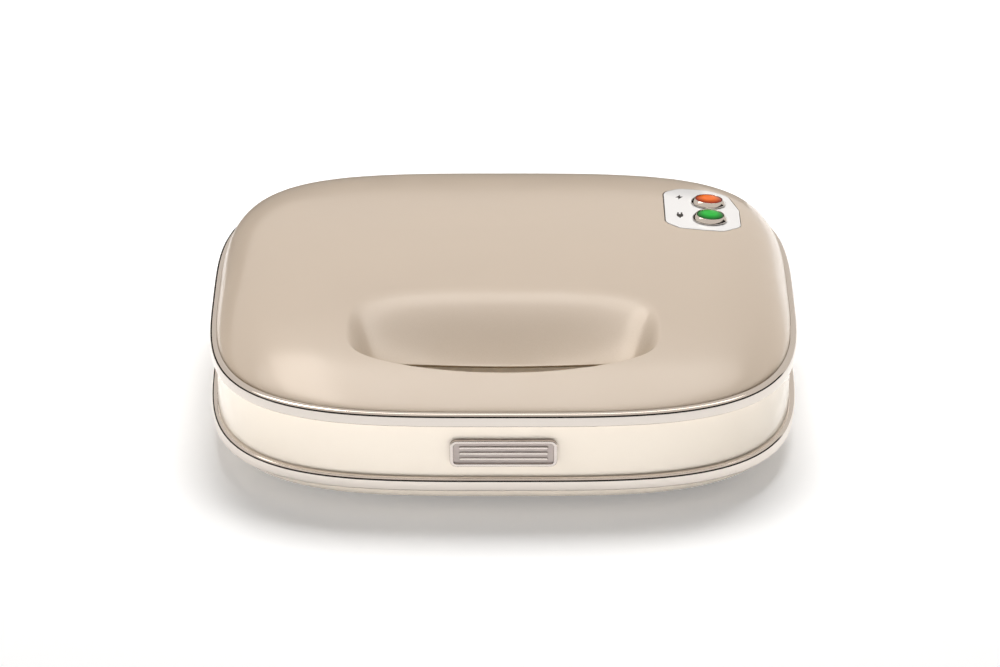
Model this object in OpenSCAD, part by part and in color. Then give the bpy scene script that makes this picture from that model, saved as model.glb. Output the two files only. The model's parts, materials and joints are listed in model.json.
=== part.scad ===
// Sandwich toaster: a two-slice countertop toaster with a domed lid on rear hinges.
// X runs left to right, Y from the handle at the front to the hinges at the rear, Z up.
// The origin is on the table, under the middle of the whole toaster, hinges included.

/* [Overall] */
// Width over the chrome bands
body_w = 260; // [210:1:320]
// Depth over the chrome bands, without the hinges
body_d = 238; // [212:1:290]
// Squareness of the plan outline, where 2 is an ellipse
plan_n = 3.55; // [3:0.05:4.5]
// Height of the base from the table to its top edge
base_h = 44.6; // [37:0.1:56]
// Rise of the lid's dome above its seam
dome_h = 22.5; // [18.5:0.1:28]

/* [Shells] */
// Wall of the base housing and the bottom cover
wall = 2.5; // [2:0.1:3.5]
// Skin of the lid cover
skin = 2.2; // [1.8:0.1:3]
// Gap between the base's top edge and the lid's band
split_gap = 0.6; // [0.4:0.1:1.5]
// Height of a chrome band
band_h = 6; // [5:0.1:8]
// How far a chrome band stands out from the wall
band_proud = 2.9; // [2:0.1:4]
// Height of the lower band's bottom edge
band_z = 14.4; // [12:0.1:16]
// Clearance between seated parts of one assembly
seat = 0.1; // [0.05:0.01:0.2]

/* [Finger scoop] */
// Half width of the scoop at its rim
scoop_w = 68.5; // [66:0.5:70]
// Middle of the scoop, measured in from the lid's front edge
scoop_in = 50; // [46:1:56]
// Reach of the scoop behind its middle
scoop_rear = 33; // [28:1:36]
// Reach of the scoop in front of its middle
scoop_front = 29.5; // [27:0.5:31]
// Half width of the finger opening
finger_w = 56; // [52:1:57]
// Half depth of the finger opening
finger_d = 8; // [7.8:0.1:8.6]
// Middle of the finger opening, measured in from the lid's front edge
finger_in = 34; // [33.5:0.5:35]
// Height of the scoop's lip above the lid's seam
lip_rise = 0.8; // [0.8:0.1:2]
// Rise of the lip from its middle to the opening's two ends
lip_bow = 3; // [1:0.1:4]

/* [Plates] */
// Distance from the body's side to a plate's edge
plate_side = 22; // [20:0.5:26]
// Distance from the body's front to the plates' front edge
plate_front = 61; // [60:0.5:70]
// Distance from the body's rear to the plates' rear edge
plate_rear = 47; // [44:0.5:56]
// Thickness of a plate's flange
plate_flange = 2.6; // [2:0.1:3.5]
// Depth of a bread pocket
pocket_depth = 8; // [6:0.5:9]
// Wall of a bread pocket
pocket_wall = 2.2; // [1.8:0.1:3]
// Diameter of a heating element's tube
element_dia = 6.4; // [5.5:0.1:6.6]

/* [Hinges] */
// Distance from the middle to each hinge
hinge_x = 48; // [30:1:60]
// Distance of the hinge axis behind the chrome bands
hinge_back = 4.5; // [4.5:0.1:7]
// Diameter of a hinge pin
pin_dia = 4; // [3:0.1:4.5]
// Width of a lid arm
arm_w = 14; // [10:0.5:20]
// Angle at which the open lid rests on its stops
lid_open = 100; // [95:1:105]

/* [Fittings] */
// Diameter of the cord inlet's bore
inlet_dia = 7.2; // [6:0.1:8]
// Width of the nameplate
badge_w = 46; // [30:1:60]
// Height of the nameplate
badge_h = 12.5; // [9:0.5:14]
// Diameter of a lamp's chrome bezel
bezel_dia = 15.7; // [13:0.1:17]
// Height of the rubber feet
foot_h = 3.5; // [3:0.1:6]

/* [Hidden] */

cream = "#f3e6d6";
tan_paint = "#d3c3b1";
chrome = "#d9d9dc";
coating = "#2b2b2e";
steel = "#a9acb0";
black_rubber = "#26262a";
ceramic = "#efece2";

// Outlines have this many points, and so do all shells that follow them
steps = 64;
round_fn = 48;

// Heights of the stack, from the table up
seam_z = base_h + split_gap + band_h;
lid_z = base_h + split_gap;
face_gap = 0.9;
lower_face_z = base_h - 0.2;
upper_face_z = lower_face_z + face_gap;
flange_low_z = lower_face_z - plate_flange;
flange_high_z = upper_face_z + plate_flange;
web = 2.1;
deck_z = flange_low_z - seat;

// Half axes of the walls' outline
wall_a = body_w / 2 - band_proud;
wall_b = body_d / 2 - band_proud;

// Hinge axis, and the shift that puts the whole toaster over the origin
hinge_r = 4.6;
hinge_y = body_d / 2 + hinge_back;
hinge_z = lid_z - 0.3;
stop_reach = 7.4;
place_y = -(hinge_y + stop_reach - body_d / 2) / 2;

// Plates
plate_w = body_w - 2 * plate_side;
plate_d = body_d - plate_front - plate_rear;
plate_y = (plate_front - plate_rear) / 2;
plate_rim = 7;
slice_web = 10;
ridge = 4;
pocket_draft = 9;
pocket_r = 11;
bulge_rim = plate_rim - pocket_wall;
frame_gap = 1.2;
centre_boss_y = min(24, plate_d / 2 - 36);
boss_r = 3.5;
screw_r = 1.5;
screw_gap = 0.06;
head_r = 2.9;
head_h = 1.8;

// Superellipse point and outline, inset from the chrome bands' outer edge
function spow(c, k) = sign(c) * pow(abs(c), k);
function sup(t, a, b, n) = [a * spow(cos(t), 2 / n), b * spow(sin(t), 2 / n)];
function outline(inset) =
    [for (i = [0:steps - 1]) sup(360 * i / steps, body_w / 2 - inset, body_d / 2 - inset, plan_n)];
function lift(pts, z) = [for (p = pts) [p.x, p.y, z]];

// Height of the dome: a crowned sheet that falls at a rounded shoulder,
// tight at the rear and softer at the handle
rear_shoulder = 13.9;
front_shoulder = 7.9;
shoulder_q = 1.43;
crown_tilt = 0.1613 * dome_h;
crown_bow = -0.6444 * dome_h;
crown_side = -1;
function rho(x, y) =
    min(1, pow(pow(abs(x) / wall_a, plan_n) + pow(abs(y) / wall_b, plan_n), 1 / plan_n));
function clamp01(u) = min(1, max(0, u));
function ease(u) = let (c = clamp01(u)) c * c * (3 - 2 * c);
function shoulder(y) =
    rear_shoulder + (front_shoulder - rear_shoulder) * ease(0.5 - 0.5 * y / wall_b);
function crown(x, y) =
    dome_h + crown_tilt * y / wall_b + crown_bow * pow(y / wall_b, 2) + crown_side * pow(x / wall_a, 2);
function dome_z(x, y) =
    seam_z + crown(x, y) * pow(1 - pow(rho(x, y), shoulder(y)), 1 / shoulder_q);
function dome_normal(x, y) =
    let (h = 0.5)
    let (gx = (dome_z(x + h, y) - dome_z(x - h, y)) / (2 * h))
    let (gy = (dome_z(x, y + h) - dome_z(x, y - h)) / (2 * h))
    [-gx, -gy, 1] / norm([-gx, -gy, 1]);

// Rounded polygons
function unit(v) = v / norm(v);
function cross2(a, b) = a.x * b.y - a.y * b.x;
function meet(p, d, q, e) = p + d * cross2(q - p, e) / cross2(d, e);
function inset_poly(pts, d) =
    [for (i = [0:len(pts) - 1])
        let (n = len(pts), a = pts[(i + n - 1) % n], b = pts[i], c = pts[(i + 1) % n])
        let (u = unit(b - a), v = unit(c - b))
        meet(b + d * [-u.y, u.x], u, b + d * [-v.y, v.x], v)];
function round_poly(pts, r, m) =
    [for (i = [0:len(pts) - 1])
        let (n = len(pts), a = pts[(i + n - 1) % n], b = pts[i], c = pts[(i + 1) % n])
        let (u = unit(a - b), v = unit(c - b), half = acos(u * v) / 2)
        let (o = b + unit(u + v) * r / sin(half), s = b + u * r / tan(half) - o)
        let (start = atan2(s.y, s.x), turn = 180 - 2 * half)
        for (k = [0:m]) o + r * [cos(start + turn * k / m), sin(start + turn * k / m)]];
function box_pts(w, d) = [[-w / 2, -d / 2], [w / 2, -d / 2], [w / 2, d / 2], [-w / 2, d / 2]];
function round_box(w, d, r, m = 5) = round_poly(box_pts(w, d), r, m);

// Solids through loops of points, counterclockwise from above and listed from the lowest outer one:
// closed at both ends, or joined into a ring
module loft(loops) {
    n = len(loops[0]);
    m = len(loops);
    pts = [for (l = loops) for (p = l) p];
    sides = [for (j = [0:m - 2]) for (i = [0:n - 1])
        let (a = j * n + i, b = j * n + (i + 1) % n) each [[a, a + n, b + n], [a, b + n, b]]];
    polyhedron(pts, concat([[for (i = [0:n - 1]) i]], sides,
        [[for (i = [n - 1:-1:0]) (m - 1) * n + i]]), 8);
}
module ring_loft(loops) {
    n = len(loops[0]);
    m = len(loops);
    pts = [for (l = loops) for (p = l) p];
    polyhedron(pts, [for (j = [0:m - 1]) for (i = [0:n - 1])
        let (k = (j + 1) % m, a = j * n + i, b = j * n + (i + 1) % n)
        let (c = k * n + i, d = k * n + (i + 1) % n) each [[a, c, d], [a, d, b]]], 8);
}
module band2d(inset, width) {
    difference() {
        polygon(outline(inset));
        polygon(outline(inset + width));
    }
}
module place() {
    translate([0, place_y, 0]) children();
}
module one_mesh() {
    minkowski() children();
}

// Chrome band: flat outer face with a broad rounded top edge
module band(z) {
    top_r = 2.7;
    low_r = 0.9;
    arc = 5;
    inner = band_proud - seat;
    low = [for (k = [0:2]) [low_r * (1 - sin(45 * k)), low_r * (1 - cos(45 * k))]];
    high = [for (k = [0:arc])
        [top_r * (1 - cos(90 * k / arc)), band_h - top_r + top_r * sin(90 * k / arc)]];
    profile = concat([[inner, 0]], low, high, [[inner, band_h]]);
    ring_loft([for (p = profile) lift(outline(p[0]), z + p[1])]);
}

// Base shells
ledge_w = 3.5;
ledge_h = 2.5;
ledge_z = deck_z - web - seat;
arm_gap = 0.5;
gland_neck_r = inlet_dia / 2 + 2;
gland_z = band_z + band_h + gland_neck_r + 3.3;
foot_x = body_w / 2 - 46;
foot_y = body_d / 2 - 59;
stem_r = 3;
post_x = finger_w + 12;
post_front = body_d / 2 - 43;
post_rear = body_d / 2 - 40;
post_boss = 1.5;
head_recess = 2;
pan_floor = foot_h + wall;
well_x = finger_w + 2;
well_back = body_d / 2 - plate_front + 3.5;
well_floor = base_h - 16;
well_wall = 2;
wall_in = band_proud + wall;

module base_housing() place() color(cream) difference() {
    union() {
        translate([0, 0, band_z]) linear_extrude(base_h - band_z) band2d(band_proud, wall);
        translate([0, 0, ledge_z - ledge_h]) linear_extrude(ledge_h) difference() {
            band2d(band_proud + wall / 2, ledge_w + wall / 2);
            translate([-well_x - 3, -body_d]) square([2 * well_x + 6, body_d]);
        }
    }
    for (s = [-1, 1]) {
        translate([s * hinge_x - arm_w / 2 - arm_gap, body_d / 2 - 22, deck_z - 0.1])
            cube([arm_w + 2 * arm_gap, 22, base_h]);
        bracket_holes(s) cylinder(r = screw_r + screw_gap, h = 20, center = true, $fn = round_fn);
    }
    translate([0, body_d / 2, gland_z]) rotate([90, 0, 0])
        cylinder(r = gland_neck_r + seat, h = 16, $fn = round_fn);
}

function wall_y(x) = wall_b * pow(1 - pow(abs(x) / wall_a, plan_n), 1 / plan_n);
module bracket_holes(s) {
    for (k = [-1, 1]) let (x = s * hinge_x + k * bracket_screw_x)
        translate([x, wall_y(x), bracket_screw_z]) rotate([90, 0, 0]) children();
}

// Bottom cover: a shallow pan that curves under the lower band
module bottom_cover() place() color(cream) {
    curl_in = 26.5;
    arc = 6;
    top = band_z - seat;
    tongue = 3;
    outer = [for (k = [arc:-1:0]) let (t = 90 * k / arc)
        [band_proud + curl_in * (1 - cos(t)), top - (top - foot_h) * sin(t)]];
    lip = [
        [wall_in + seat, top],
        [wall_in + seat, top + tongue],
        [wall_in + seat + wall, top + tongue]
    ];
    inner = [for (k = [0:arc]) let (t = 90 * k / arc)
        [wall_in + seat + wall + (curl_in - wall) * (1 - cos(t)), top - (top - pan_floor) * sin(t)]];
    one_mesh() difference() {
        union() {
            loft([for (p = concat(outer, lip, inner)) lift(outline(p[0]), p[1])]);
            at_posts() translate([0, 0, foot_h + 1])
                cylinder(r = 5, h = wall + post_boss - 1, $fn = 24);
        }
        at_feet() translate([0, 0, -1]) cylinder(r = stem_r + seat, h = 20, $fn = 24);
        at_posts() cylinder(r = screw_r + screw_gap, h = 40, center = true, $fn = 24);
        at_posts() cylinder(r = head_r + 0.3, h = 2 * (foot_h + head_recess), center = true, $fn = 24);
        for (s = [-1, 1]) for (k = [-3:3])
            translate([s * (foot_x - 34), k * 9 + plate_y, 0]) cube([26, 3, 30], center = true);
    }
}
module at_feet() {
    for (sx = [-1, 1]) for (sy = [-1, 1]) translate([sx * foot_x, sy * foot_y, 0]) children();
}
module at_posts() {
    for (sx = [-1, 1]) {
        translate([sx * post_x, -post_front, 0]) children();
        translate([sx * post_x, post_rear, 0]) children();
    }
}

module base_band() place() color(chrome) band(band_z);

// Base deck: the inner frame that carries the lower plate and holds the finger well
module base_deck() place() color(cream) {
    post_r = 4.5;
    post_low = pan_floor + post_boss + seat;
    difference() {
        union() {
            translate([0, 0, deck_z - web]) linear_extrude(web) difference() {
                polygon(outline(wall_in + 0.2));
                plate_opening2d();
            }
            translate([0, 0, well_floor - well_wall])
                linear_extrude(deck_z - well_floor + well_wall) well2d(0);
            at_posts() translate([0, 0, post_low])
                cylinder(r = post_r, h = deck_z - web / 2 - post_low, $fn = round_fn);
        }
        translate([0, 0, well_floor]) linear_extrude(base_h) well2d(well_wall);
        at_posts() cylinder(r = screw_r + screw_gap, h = foot_h + head_recess + 16, $fn = round_fn);
        at_plate_corners() translate([0, 0, deck_z - 10])
            cylinder(r = screw_r + screw_gap, h = 20, $fn = round_fn);
    }
}
module well2d(t) {
    intersection() {
        translate([-well_x + t, -body_d / 2])
            square([2 * (well_x - t), body_d / 2 - well_back - t]);
        polygon(outline(wall_in + 0.5 + t));
    }
}
module plate_opening2d() {
    translate([0, plate_y]) polygon(round_box(
        plate_w - 2 * (bulge_rim - frame_gap), plate_d - 2 * (bulge_rim - frame_gap), 14));
}
module at_plate_corners() {
    inset = 6.2;
    for (sx = [-1, 1]) for (sy = [-1, 1])
        translate([sx * (plate_w / 2 - inset), plate_y + sy * (plate_d / 2 - inset), 0]) children();
}

// Nameplate: a bare plate with a raised rim and plain lines
module nameplate() place() color(steel) {
    back = 1;
    rim = 1.2;
    rise = 0.9;
    line_h = 0.8;
    lines = 3;
    badge_z = (band_z + band_h + base_h) / 2 - 0.4;
    translate([0, -wall_b - seat, badge_z]) rotate([90, 0, 0]) {
        linear_extrude(back) polygon(round_box(badge_w, badge_h, 2));
        translate([0, 0, back]) linear_extrude(rise) difference() {
            polygon(round_box(badge_w, badge_h, 2));
            polygon(round_box(badge_w - 2 * rim, badge_h - 2 * rim, 1.2));
        }
        for (k = [0:lines - 1])
            translate([-badge_w / 2 + 4, (k - (lines - 1) / 2) * 2.6 - line_h / 2, back])
                cube([badge_w - 8, line_h, rise / 2]);
    }
}

// Feet: rubber discs with a stem through the bottom cover
module foot(sx, sy) place() color(black_rubber)
    translate([sx * foot_x, sy * foot_y, 0]) {
        cylinder(r = 7.5, h = foot_h - seat, $fn = round_fn);
        translate([0, 0, 1]) cylinder(r = stem_r, h = pan_floor + 1, $fn = round_fn);
    }
module foot_front_left() foot(-1, -1);
module foot_front_right() foot(1, -1);
module foot_rear_left() foot(-1, 1);
module foot_rear_right() foot(1, 1);

// Cast plate, face up at z = 0, with two triangular pockets for each slice
function slice_tri(sx, k) =
    let (x0 = slice_web / 2, x1 = plate_w / 2 - plate_rim, y1 = plate_d / 2 - plate_rim)
    let (hyp = norm([x1 - x0, 2 * y1]), dx = ridge * hyp / (4 * y1), dy = ridge * hyp / (2 * (x1 - x0)))
    let (t = k == 0 ? [[x0, -y1], [x1 - dx, -y1], [x0, y1 - dy]] : [[x1, y1], [x0 + dx, y1], [x1, dy - y1]])
    sx > 0 ? t : [for (i = [2:-1:0]) [-t[i].x, t[i].y]];
function pocket_loop(tri, inset, z) =
    lift(round_poly(inset_poly(tri, inset), max(2, pocket_r - inset), 4), z);
module pocket(tri, grow, deep, mouth_z) {
    arc = 4;
    loft(concat([for (k = [arc:-1:1]) let (t = 90 * k / arc)
        pocket_loop(tri, pocket_draft * (1 - cos(t)) - grow, -deep * sin(t))],
        [pocket_loop(tri, -grow, mouth_z)]));
}
module grill_plate() {
    one_mesh() difference() {
        union() {
            translate([0, 0, -plate_flange]) linear_extrude(plate_flange)
                polygon(round_box(plate_w, plate_d, 10));
            for (sx = [-1, 1]) for (k = [0, 1])
                pocket(slice_tri(sx, k), pocket_wall, bulge_deep, -plate_flange / 2);
            for (s = [-1, 1]) translate([0, s * centre_boss_y, -bulge_deep - element_dia - 0.2])
                cylinder(r = boss_r, h = bulge_deep + element_dia + 0.1 - 1, $fn = 24);
            translate([0, 0, -bulge_deep]) cylinder(r = thermo_r, h = bulge_deep - 1, $fn = 32);
        }
        for (sx = [-1, 1]) for (k = [0, 1]) pocket(slice_tri(sx, k), 0, pocket_depth, 0.5);
        for (s = [-1, 1]) translate([0, s * centre_boss_y, -bulge_deep - element_dia - 1])
            cylinder(r = screw_r + screw_gap, h = 9, $fn = 24);
        translate([0, -plate_y, -plate_flange - 1]) at_plate_corners()
            cylinder(r = screw_r + screw_gap, h = 2.8, $fn = 24);
    }
}
bulge_deep = pocket_depth + pocket_wall;
thermo_r = 8;

// Tubular element: a rounded loop under the pockets, open at the rear for its cold ends
element_x = plate_w / 2 - 32;
element_y = plate_d / 2 - 29;
element_bend = 16;
cold_x = 14;
cold_len = 16;
module element_loop() {
    r = element_dia / 2;
    for (s = [-1, 1]) {
        translate([s * element_x, element_bend - element_y, 0]) rotate([-90, 0, 0])
            cylinder(r = r, h = 2 * (element_y - element_bend), $fn = round_fn);
        for (t = [-1, 1])
            translate([s * (element_x - element_bend), t * (element_y - element_bend), 0])
                rotate([0, 0, s > 0 ? (t > 0 ? 0 : 270) : (t > 0 ? 90 : 180)])
                    rotate_extrude(angle = 90, $fn = 2 * round_fn)
                        translate([element_bend, 0]) circle(r = r, $fn = round_fn);
        translate([s * (cold_x + bend_r), element_y, 0]) rotate([0, s * 90, 0])
            cylinder(r = r, h = element_x - element_bend - cold_x - bend_r, $fn = round_fn);
        translate([s * (cold_x + bend_r), element_y + bend_r, 0]) rotate([0, 0, s > 0 ? 180 : 270])
            rotate_extrude(angle = 90, $fn = 2 * round_fn)
                translate([bend_r, 0]) circle(r = r, $fn = round_fn);
        translate([s * cold_x, element_y + bend_r, 0]) rotate([-90, 0, 0])
            cylinder(r = r, h = cold_len - bend_r, $fn = round_fn);
        translate([s * cold_x, element_y + cold_len - 1, 0]) rotate([-90, 0, 0])
            cylinder(r = 1.4, h = 8, $fn = round_fn);
    }
    translate([element_bend - element_x, -element_y, 0]) rotate([0, 90, 0])
        cylinder(r = r, h = 2 * (element_x - element_bend), $fn = round_fn);
}
bend_r = 8;

// Reflector: a sheet-steel tray under the element, with its rim turned to the plate
module reflector(holes) {
    sheet = 0.8;
    rim_h = 3;
    w = 2 * (element_x + element_dia / 2 + 2.5);
    d = 2 * (element_y + element_dia / 2 + 2.5);
    difference() {
        translate([0, 0, -sheet]) linear_extrude(sheet + rim_h) polygon(round_box(w, d, 18));
        linear_extrude(rim_h + 1) polygon(round_box(w - 2 * sheet, d - 2 * sheet, 17.2));
        for (s = [-1, 1]) translate([0, s * centre_boss_y, -5])
            cylinder(r = screw_r + screw_gap, h = 10, $fn = round_fn);
        for (s = [-1, 1]) translate([s * cold_x, d / 2, element_dia / 2 + 0.2])
            cube([element_dia + 3, 10, element_dia + 0.6], center = true);
        if (holes) translate([0, 0, -5]) cylinder(r = thermo_r + 1, h = 10, $fn = round_fn);
    }
}
element_low_z = lower_face_z - bulge_deep - 0.15 - element_dia / 2;
element_high_z = upper_face_z + bulge_deep + 0.15 + element_dia / 2;
tray_low_z = element_low_z - element_dia / 2 - 0.15;
tray_high_z = element_high_z + element_dia / 2 + 0.15;

module lower_plate() place() color(coating) translate([0, plate_y, lower_face_z]) grill_plate();
module upper_plate() place() color(coating)
    translate([0, plate_y, upper_face_z]) mirror([0, 0, 1]) grill_plate();
module lower_element() place() color(steel) translate([0, plate_y, element_low_z]) element_loop();
module upper_element() place() color(steel) translate([0, plate_y, element_high_z]) element_loop();
module lower_reflector() place() color(steel) translate([0, plate_y, tray_low_z]) reflector(true);
module upper_reflector() place() color(steel)
    translate([0, plate_y, tray_high_z]) mirror([0, 0, 1]) reflector(false);

// Screw, head down at z = 0 and shank up
module screw(len) {
    translate([0, 0, -head_h]) cylinder(r = head_r, h = head_h, $fn = round_fn);
    translate([0, 0, -head_h / 2]) cylinder(r = screw_r, h = len + head_h / 2, $fn = round_fn);
}

module screw_flush(len) {
    translate([0, 0, -head_h / 2]) cylinder(r = head_r, h = head_h / 2, $fn = round_fn);
    translate([0, 0, -head_h / 4]) cylinder(r = screw_r, h = len + head_h / 4, $fn = round_fn);
}

// Thermostat: a bimetal switch held up against the lower plate by a strap
strap_t = 1.2;
thermo_h = 9;
thermo_top = lower_face_z - bulge_deep - seat;
strap_top = thermo_top - thermo_h - seat;
module thermostat() place() color(ceramic) translate([0, plate_y, thermo_top - thermo_h]) {
    cylinder(r = thermo_r - 1.5, h = thermo_h, $fn = round_fn);
    translate([0, 0, thermo_h - 3]) cylinder(r = thermo_r, h = 3, $fn = round_fn);
    for (s = [-1, 1]) translate([s * (thermo_r - 0.5), 0, 0.8]) cube([7, 4.8, 0.8], center = true);
}
module thermostat_strap() place() color(steel)
    translate([0, plate_y, strap_top - strap_t]) difference() {
        union() {
            linear_extrude(strap_t) polygon(round_box(10, 2 * centre_boss_y + 12, 4));
            for (s = [-1, 1]) translate([0, s * centre_boss_y, 0])
                cylinder(r = boss_r, h = tray_low_z - 0.8 - seat - strap_top + strap_t, $fn = round_fn);
        }
        for (s = [-1, 1]) translate([0, s * centre_boss_y, -1])
            cylinder(r = screw_r + screw_gap, h = 20, $fn = round_fn);
    }
module thermal_fuse() place() color(ceramic) {
    fuse_r = 2.2;
    fuse_z = tray_low_z - 0.8 - fuse_r - seat;
    translate([26, plate_y, fuse_z]) rotate([90, 0, 0]) {
        cylinder(r = fuse_r, h = 14, center = true, $fn = round_fn);
        cylinder(r = 0.6, h = 30, center = true, $fn = round_fn);
    }
}
module lower_plate_screws() place() color(steel) {
    at_plate_corners() translate([0, 0, deck_z - web - seat]) screw(web + 1.6);
    for (s = [-1, 1]) translate([0, plate_y + s * centre_boss_y, strap_top - strap_t - seat])
        screw(tray_low_z - strap_top + strap_t + 5);
}
module upper_plate_screws() place() color(steel) {
    at_plate_corners() translate([0, 0, flange_high_z + web + seat])
        mirror([0, 0, 1]) screw(web + 1.6);
    for (s = [-1, 1]) translate([0, plate_y + s * centre_boss_y, tray_high_z + 0.8 + seat])
        mirror([0, 0, 1]) screw(6);
}

// Wiring of the base
block_y = body_d / 2 - 40;
block_h = 12;
block_z = pan_floor + seat;
module terminal_block() place() color(ceramic) translate([0, block_y, block_z]) difference() {
    translate([-18, -7, 0]) cube([36, 14, block_h]);
    for (k = [-1:1]) {
        translate([11 * k, 0, block_h / 2]) rotate([90, 0, 0])
            cylinder(r = 2, h = 20, center = true, $fn = round_fn);
        translate([11 * k, 0, block_h / 2]) cylinder(r = 2.2, h = block_h, $fn = round_fn);
    }
}
module wire(pts) {
    wire_r = 1.3;
    n = len(pts);
    loft([for (i = [0:n - 1])
        let (d = unit(pts[min(i + 1, n - 1)] - pts[max(i, 1) - 1]))
        let (u = unit(cross([1, 0, 0], d)), v = cross(d, u))
        [for (k = [0:7]) pts[i] + wire_r * (cos(45 * k) * v + sin(45 * k) * u)]]);
}
module base_leads() place() color("#c9c2b4") {
    from_y = block_y - 6;
    mid_z = block_z + block_h / 2;
    end_y = plate_y + element_y + cold_len + 8.7;
    for (s = [-1, 1])
        wire([[11 * s, from_y, mid_z], [11 * s, from_y - 7, mid_z],
            [cold_x * s, end_y + 2, element_low_z - 6], [cold_x * s, end_y, element_low_z]]);
    wire([[0, from_y, mid_z], [0, from_y - 12, mid_z - 4], [10, plate_y + 20, mid_z],
        [12.9, plate_y, thermo_top - thermo_h - 0.6]]);
}

// Cord inlet: a rubber bush in the rear wall
module cord_gland() place() color(black_rubber)
    translate([0, wall_b + seat, gland_z]) rotate([-90, 0, 0]) difference() {
        union() {
            cylinder(r = gland_neck_r + 2.6, h = 3, $fn = round_fn);
            translate([0, 0, -wall - 2 * seat - 2]) cylinder(r = gland_neck_r, h = wall + 4, $fn = round_fn);
            translate([0, 0, -wall - 2 * seat - 2]) cylinder(r = gland_neck_r + 1.6, h = 2, $fn = round_fn);
        }
        translate([0, 0, -20]) cylinder(d = inlet_dia, h = 40, $fn = round_fn);
    }

module base_screws() place() color(steel)
    at_posts() translate([0, 0, foot_h + head_recess - seat]) screw(14);

// Hinges: a bracket of two ears on the base, a pin, and an arm on the lid
ear_t = 4;
ear_gap = 0.3;
ear_r = 4.6;
bracket_z = band_z + band_h + 4;
bracket_half = arm_w / 2 + ear_gap + ear_t;
bracket_screw_x = 6;
bracket_screw_z = bracket_z + 4.5;
module hinge_bracket(s) place() color(cream) difference() {
    union() {
        for (k = [-1, 1]) translate([s * hinge_x + k * (bracket_half - ear_t / 2), 0, 0]) ear();
        translate([s * hinge_x - bracket_half, wall_b - 8, bracket_z])
            cube([2 * bracket_half, hinge_y - 1.8 - wall_b + 8, stop_top - bracket_z]);
    }
    linear_extrude(base_h + 10) polygon(outline(band_proud - seat));
    translate([s * hinge_x, hinge_y, hinge_z]) rotate([0, 90, 0])
        cylinder(r = pin_dia / 2 + 0.02, h = 60, center = true, $fn = round_fn);
    bracket_holes(s) cylinder(r = screw_r + screw_gap, h = 13, center = true, $fn = round_fn);
}
stop_top = hinge_z - hinge_r - 0.4;
module ear() {
    translate([-ear_t / 2, 0, 0]) rotate([90, 0, 90]) linear_extrude(ear_t) union() {
        translate([hinge_y, hinge_z]) circle(r = ear_r, $fn = round_fn);
        polygon([
            [wall_b - 8, bracket_z], [wall_b + 4, bracket_z], [hinge_y + ear_r, hinge_z - 4],
            [hinge_y + ear_r, hinge_z], [hinge_y - ear_r, hinge_z], [wall_b - 8, base_h - 6]
        ]);
    }
}
module hinge_bracket_left() hinge_bracket(-1);
module hinge_bracket_right() hinge_bracket(1);
module hinge_pin(s) place() color(steel) translate([s * hinge_x, hinge_y, hinge_z]) rotate([0, 90, 0])
    cylinder(d = pin_dia, h = 2 * bracket_half, center = true, $fn = round_fn);
module hinge_pin_left() hinge_pin(-1);
module hinge_pin_right() hinge_pin(1);

arm_low = deck_z + 0.4;
arm_high = lid_z - 0.2;
stop_t = 3;
pin_gap = 0.06;
arm_front = body_d / 2 - 21;
arm_screw_y = [body_d / 2 - 17.4, body_d / 2 - 10.6];
module hinge_arm(s) place() color(steel) difference() {
    translate([s * hinge_x - arm_w / 2, 0, 0]) rotate([90, 0, 90]) linear_extrude(arm_w) union() {
        translate([hinge_y, hinge_z]) circle(r = hinge_r, $fn = round_fn);
        translate([hinge_y, hinge_z]) rotate(lid_open - 90) translate([0, -stop_t / 2]) square([stop_reach, stop_t]);
        translate([arm_front, arm_low]) square([hinge_y - arm_front, arm_high - arm_low]);
    }
    translate([s * hinge_x, hinge_y, hinge_z]) rotate([0, 90, 0])
        cylinder(r = pin_dia / 2 + pin_gap, h = 60, center = true, $fn = round_fn);
    for (y = arm_screw_y) translate([s * hinge_x, y, 0]) {
        cylinder(r = screw_r + screw_gap, h = 100, $fn = round_fn);
        cylinder(r = head_r + 0.1, h = arm_low + head_h / 2, $fn = round_fn);
    }
}
module hinge_arm_left() hinge_arm(-1);
module hinge_arm_right() hinge_arm(1);
module bracket_screws() place() color(steel)
    for (s = [-1, 1]) bracket_holes(s) translate([0, 0, wall + 0.7]) mirror([0, 0, 1]) screw(8);
module arm_screws() place() color(steel)
    for (s = [-1, 1]) for (y = arm_screw_y)
        translate([s * hinge_x, y, arm_low + head_h / 2 - seat]) screw_flush(4.5);

// Lid cover: dome, scoop and skirt in one skin.
// Loops run up the skirt, over the dome to the scoop's rim, down to the lip, and back inside.
scoop_y = scoop_in - wall_b;
finger_y = finger_in - wall_b;
lip_z = seam_z + lip_rise;
lip_edge = 0.9;
collar_t = 1.8;
collar_gap = 0.2;
lip_land = collar_t + 2 * collar_gap;
rear_roll = 0.42;
side_roll = 0.35;
front_roll = 0.7;
function scoop_pt(t) = let (s = sin(t))
    [0, scoop_y] + sup(t, scoop_w, s > 0 ? scoop_rear : scoop_front, 3 + s);
function finger_pt(t, grow = 0) = [0, finger_y] + sup(t, finger_w + grow, finger_d + grow, 3);
function finger_ring(grow) = [for (i = [0:steps - 1]) finger_pt(360 * i / steps, grow)];
function lip_height(t) = lip_z + lip_bow * pow(finger_pt(t).x / finger_w, 2);
function rim_pt(t, inset) = sup(t, wall_a - inset, wall_b - inset, plan_n);
function roll_size(t) = let (k = rear_roll + (front_roll - rear_roll) * ease(-sin(t)))
    k + (side_roll - k) * pow(abs(cos(t)), 3);
function roll(v, t) = let (k = roll_size(t))
    1 - (sqrt(v * v + k * k) - k) / (sqrt(1 + k * k) - k);
function dome_loop(w, inset, drop) = [for (i = [0:steps - 1])
    let (t = 360 * i / steps, s = scoop_pt(t), p = s + (rim_pt(t, inset) - s) * w)
    let (kx = wall_a / (wall_a - inset), ky = wall_b / (wall_b - inset))
    [p.x, p.y, dome_z(p.x * kx, p.y * ky) - drop]];
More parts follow.
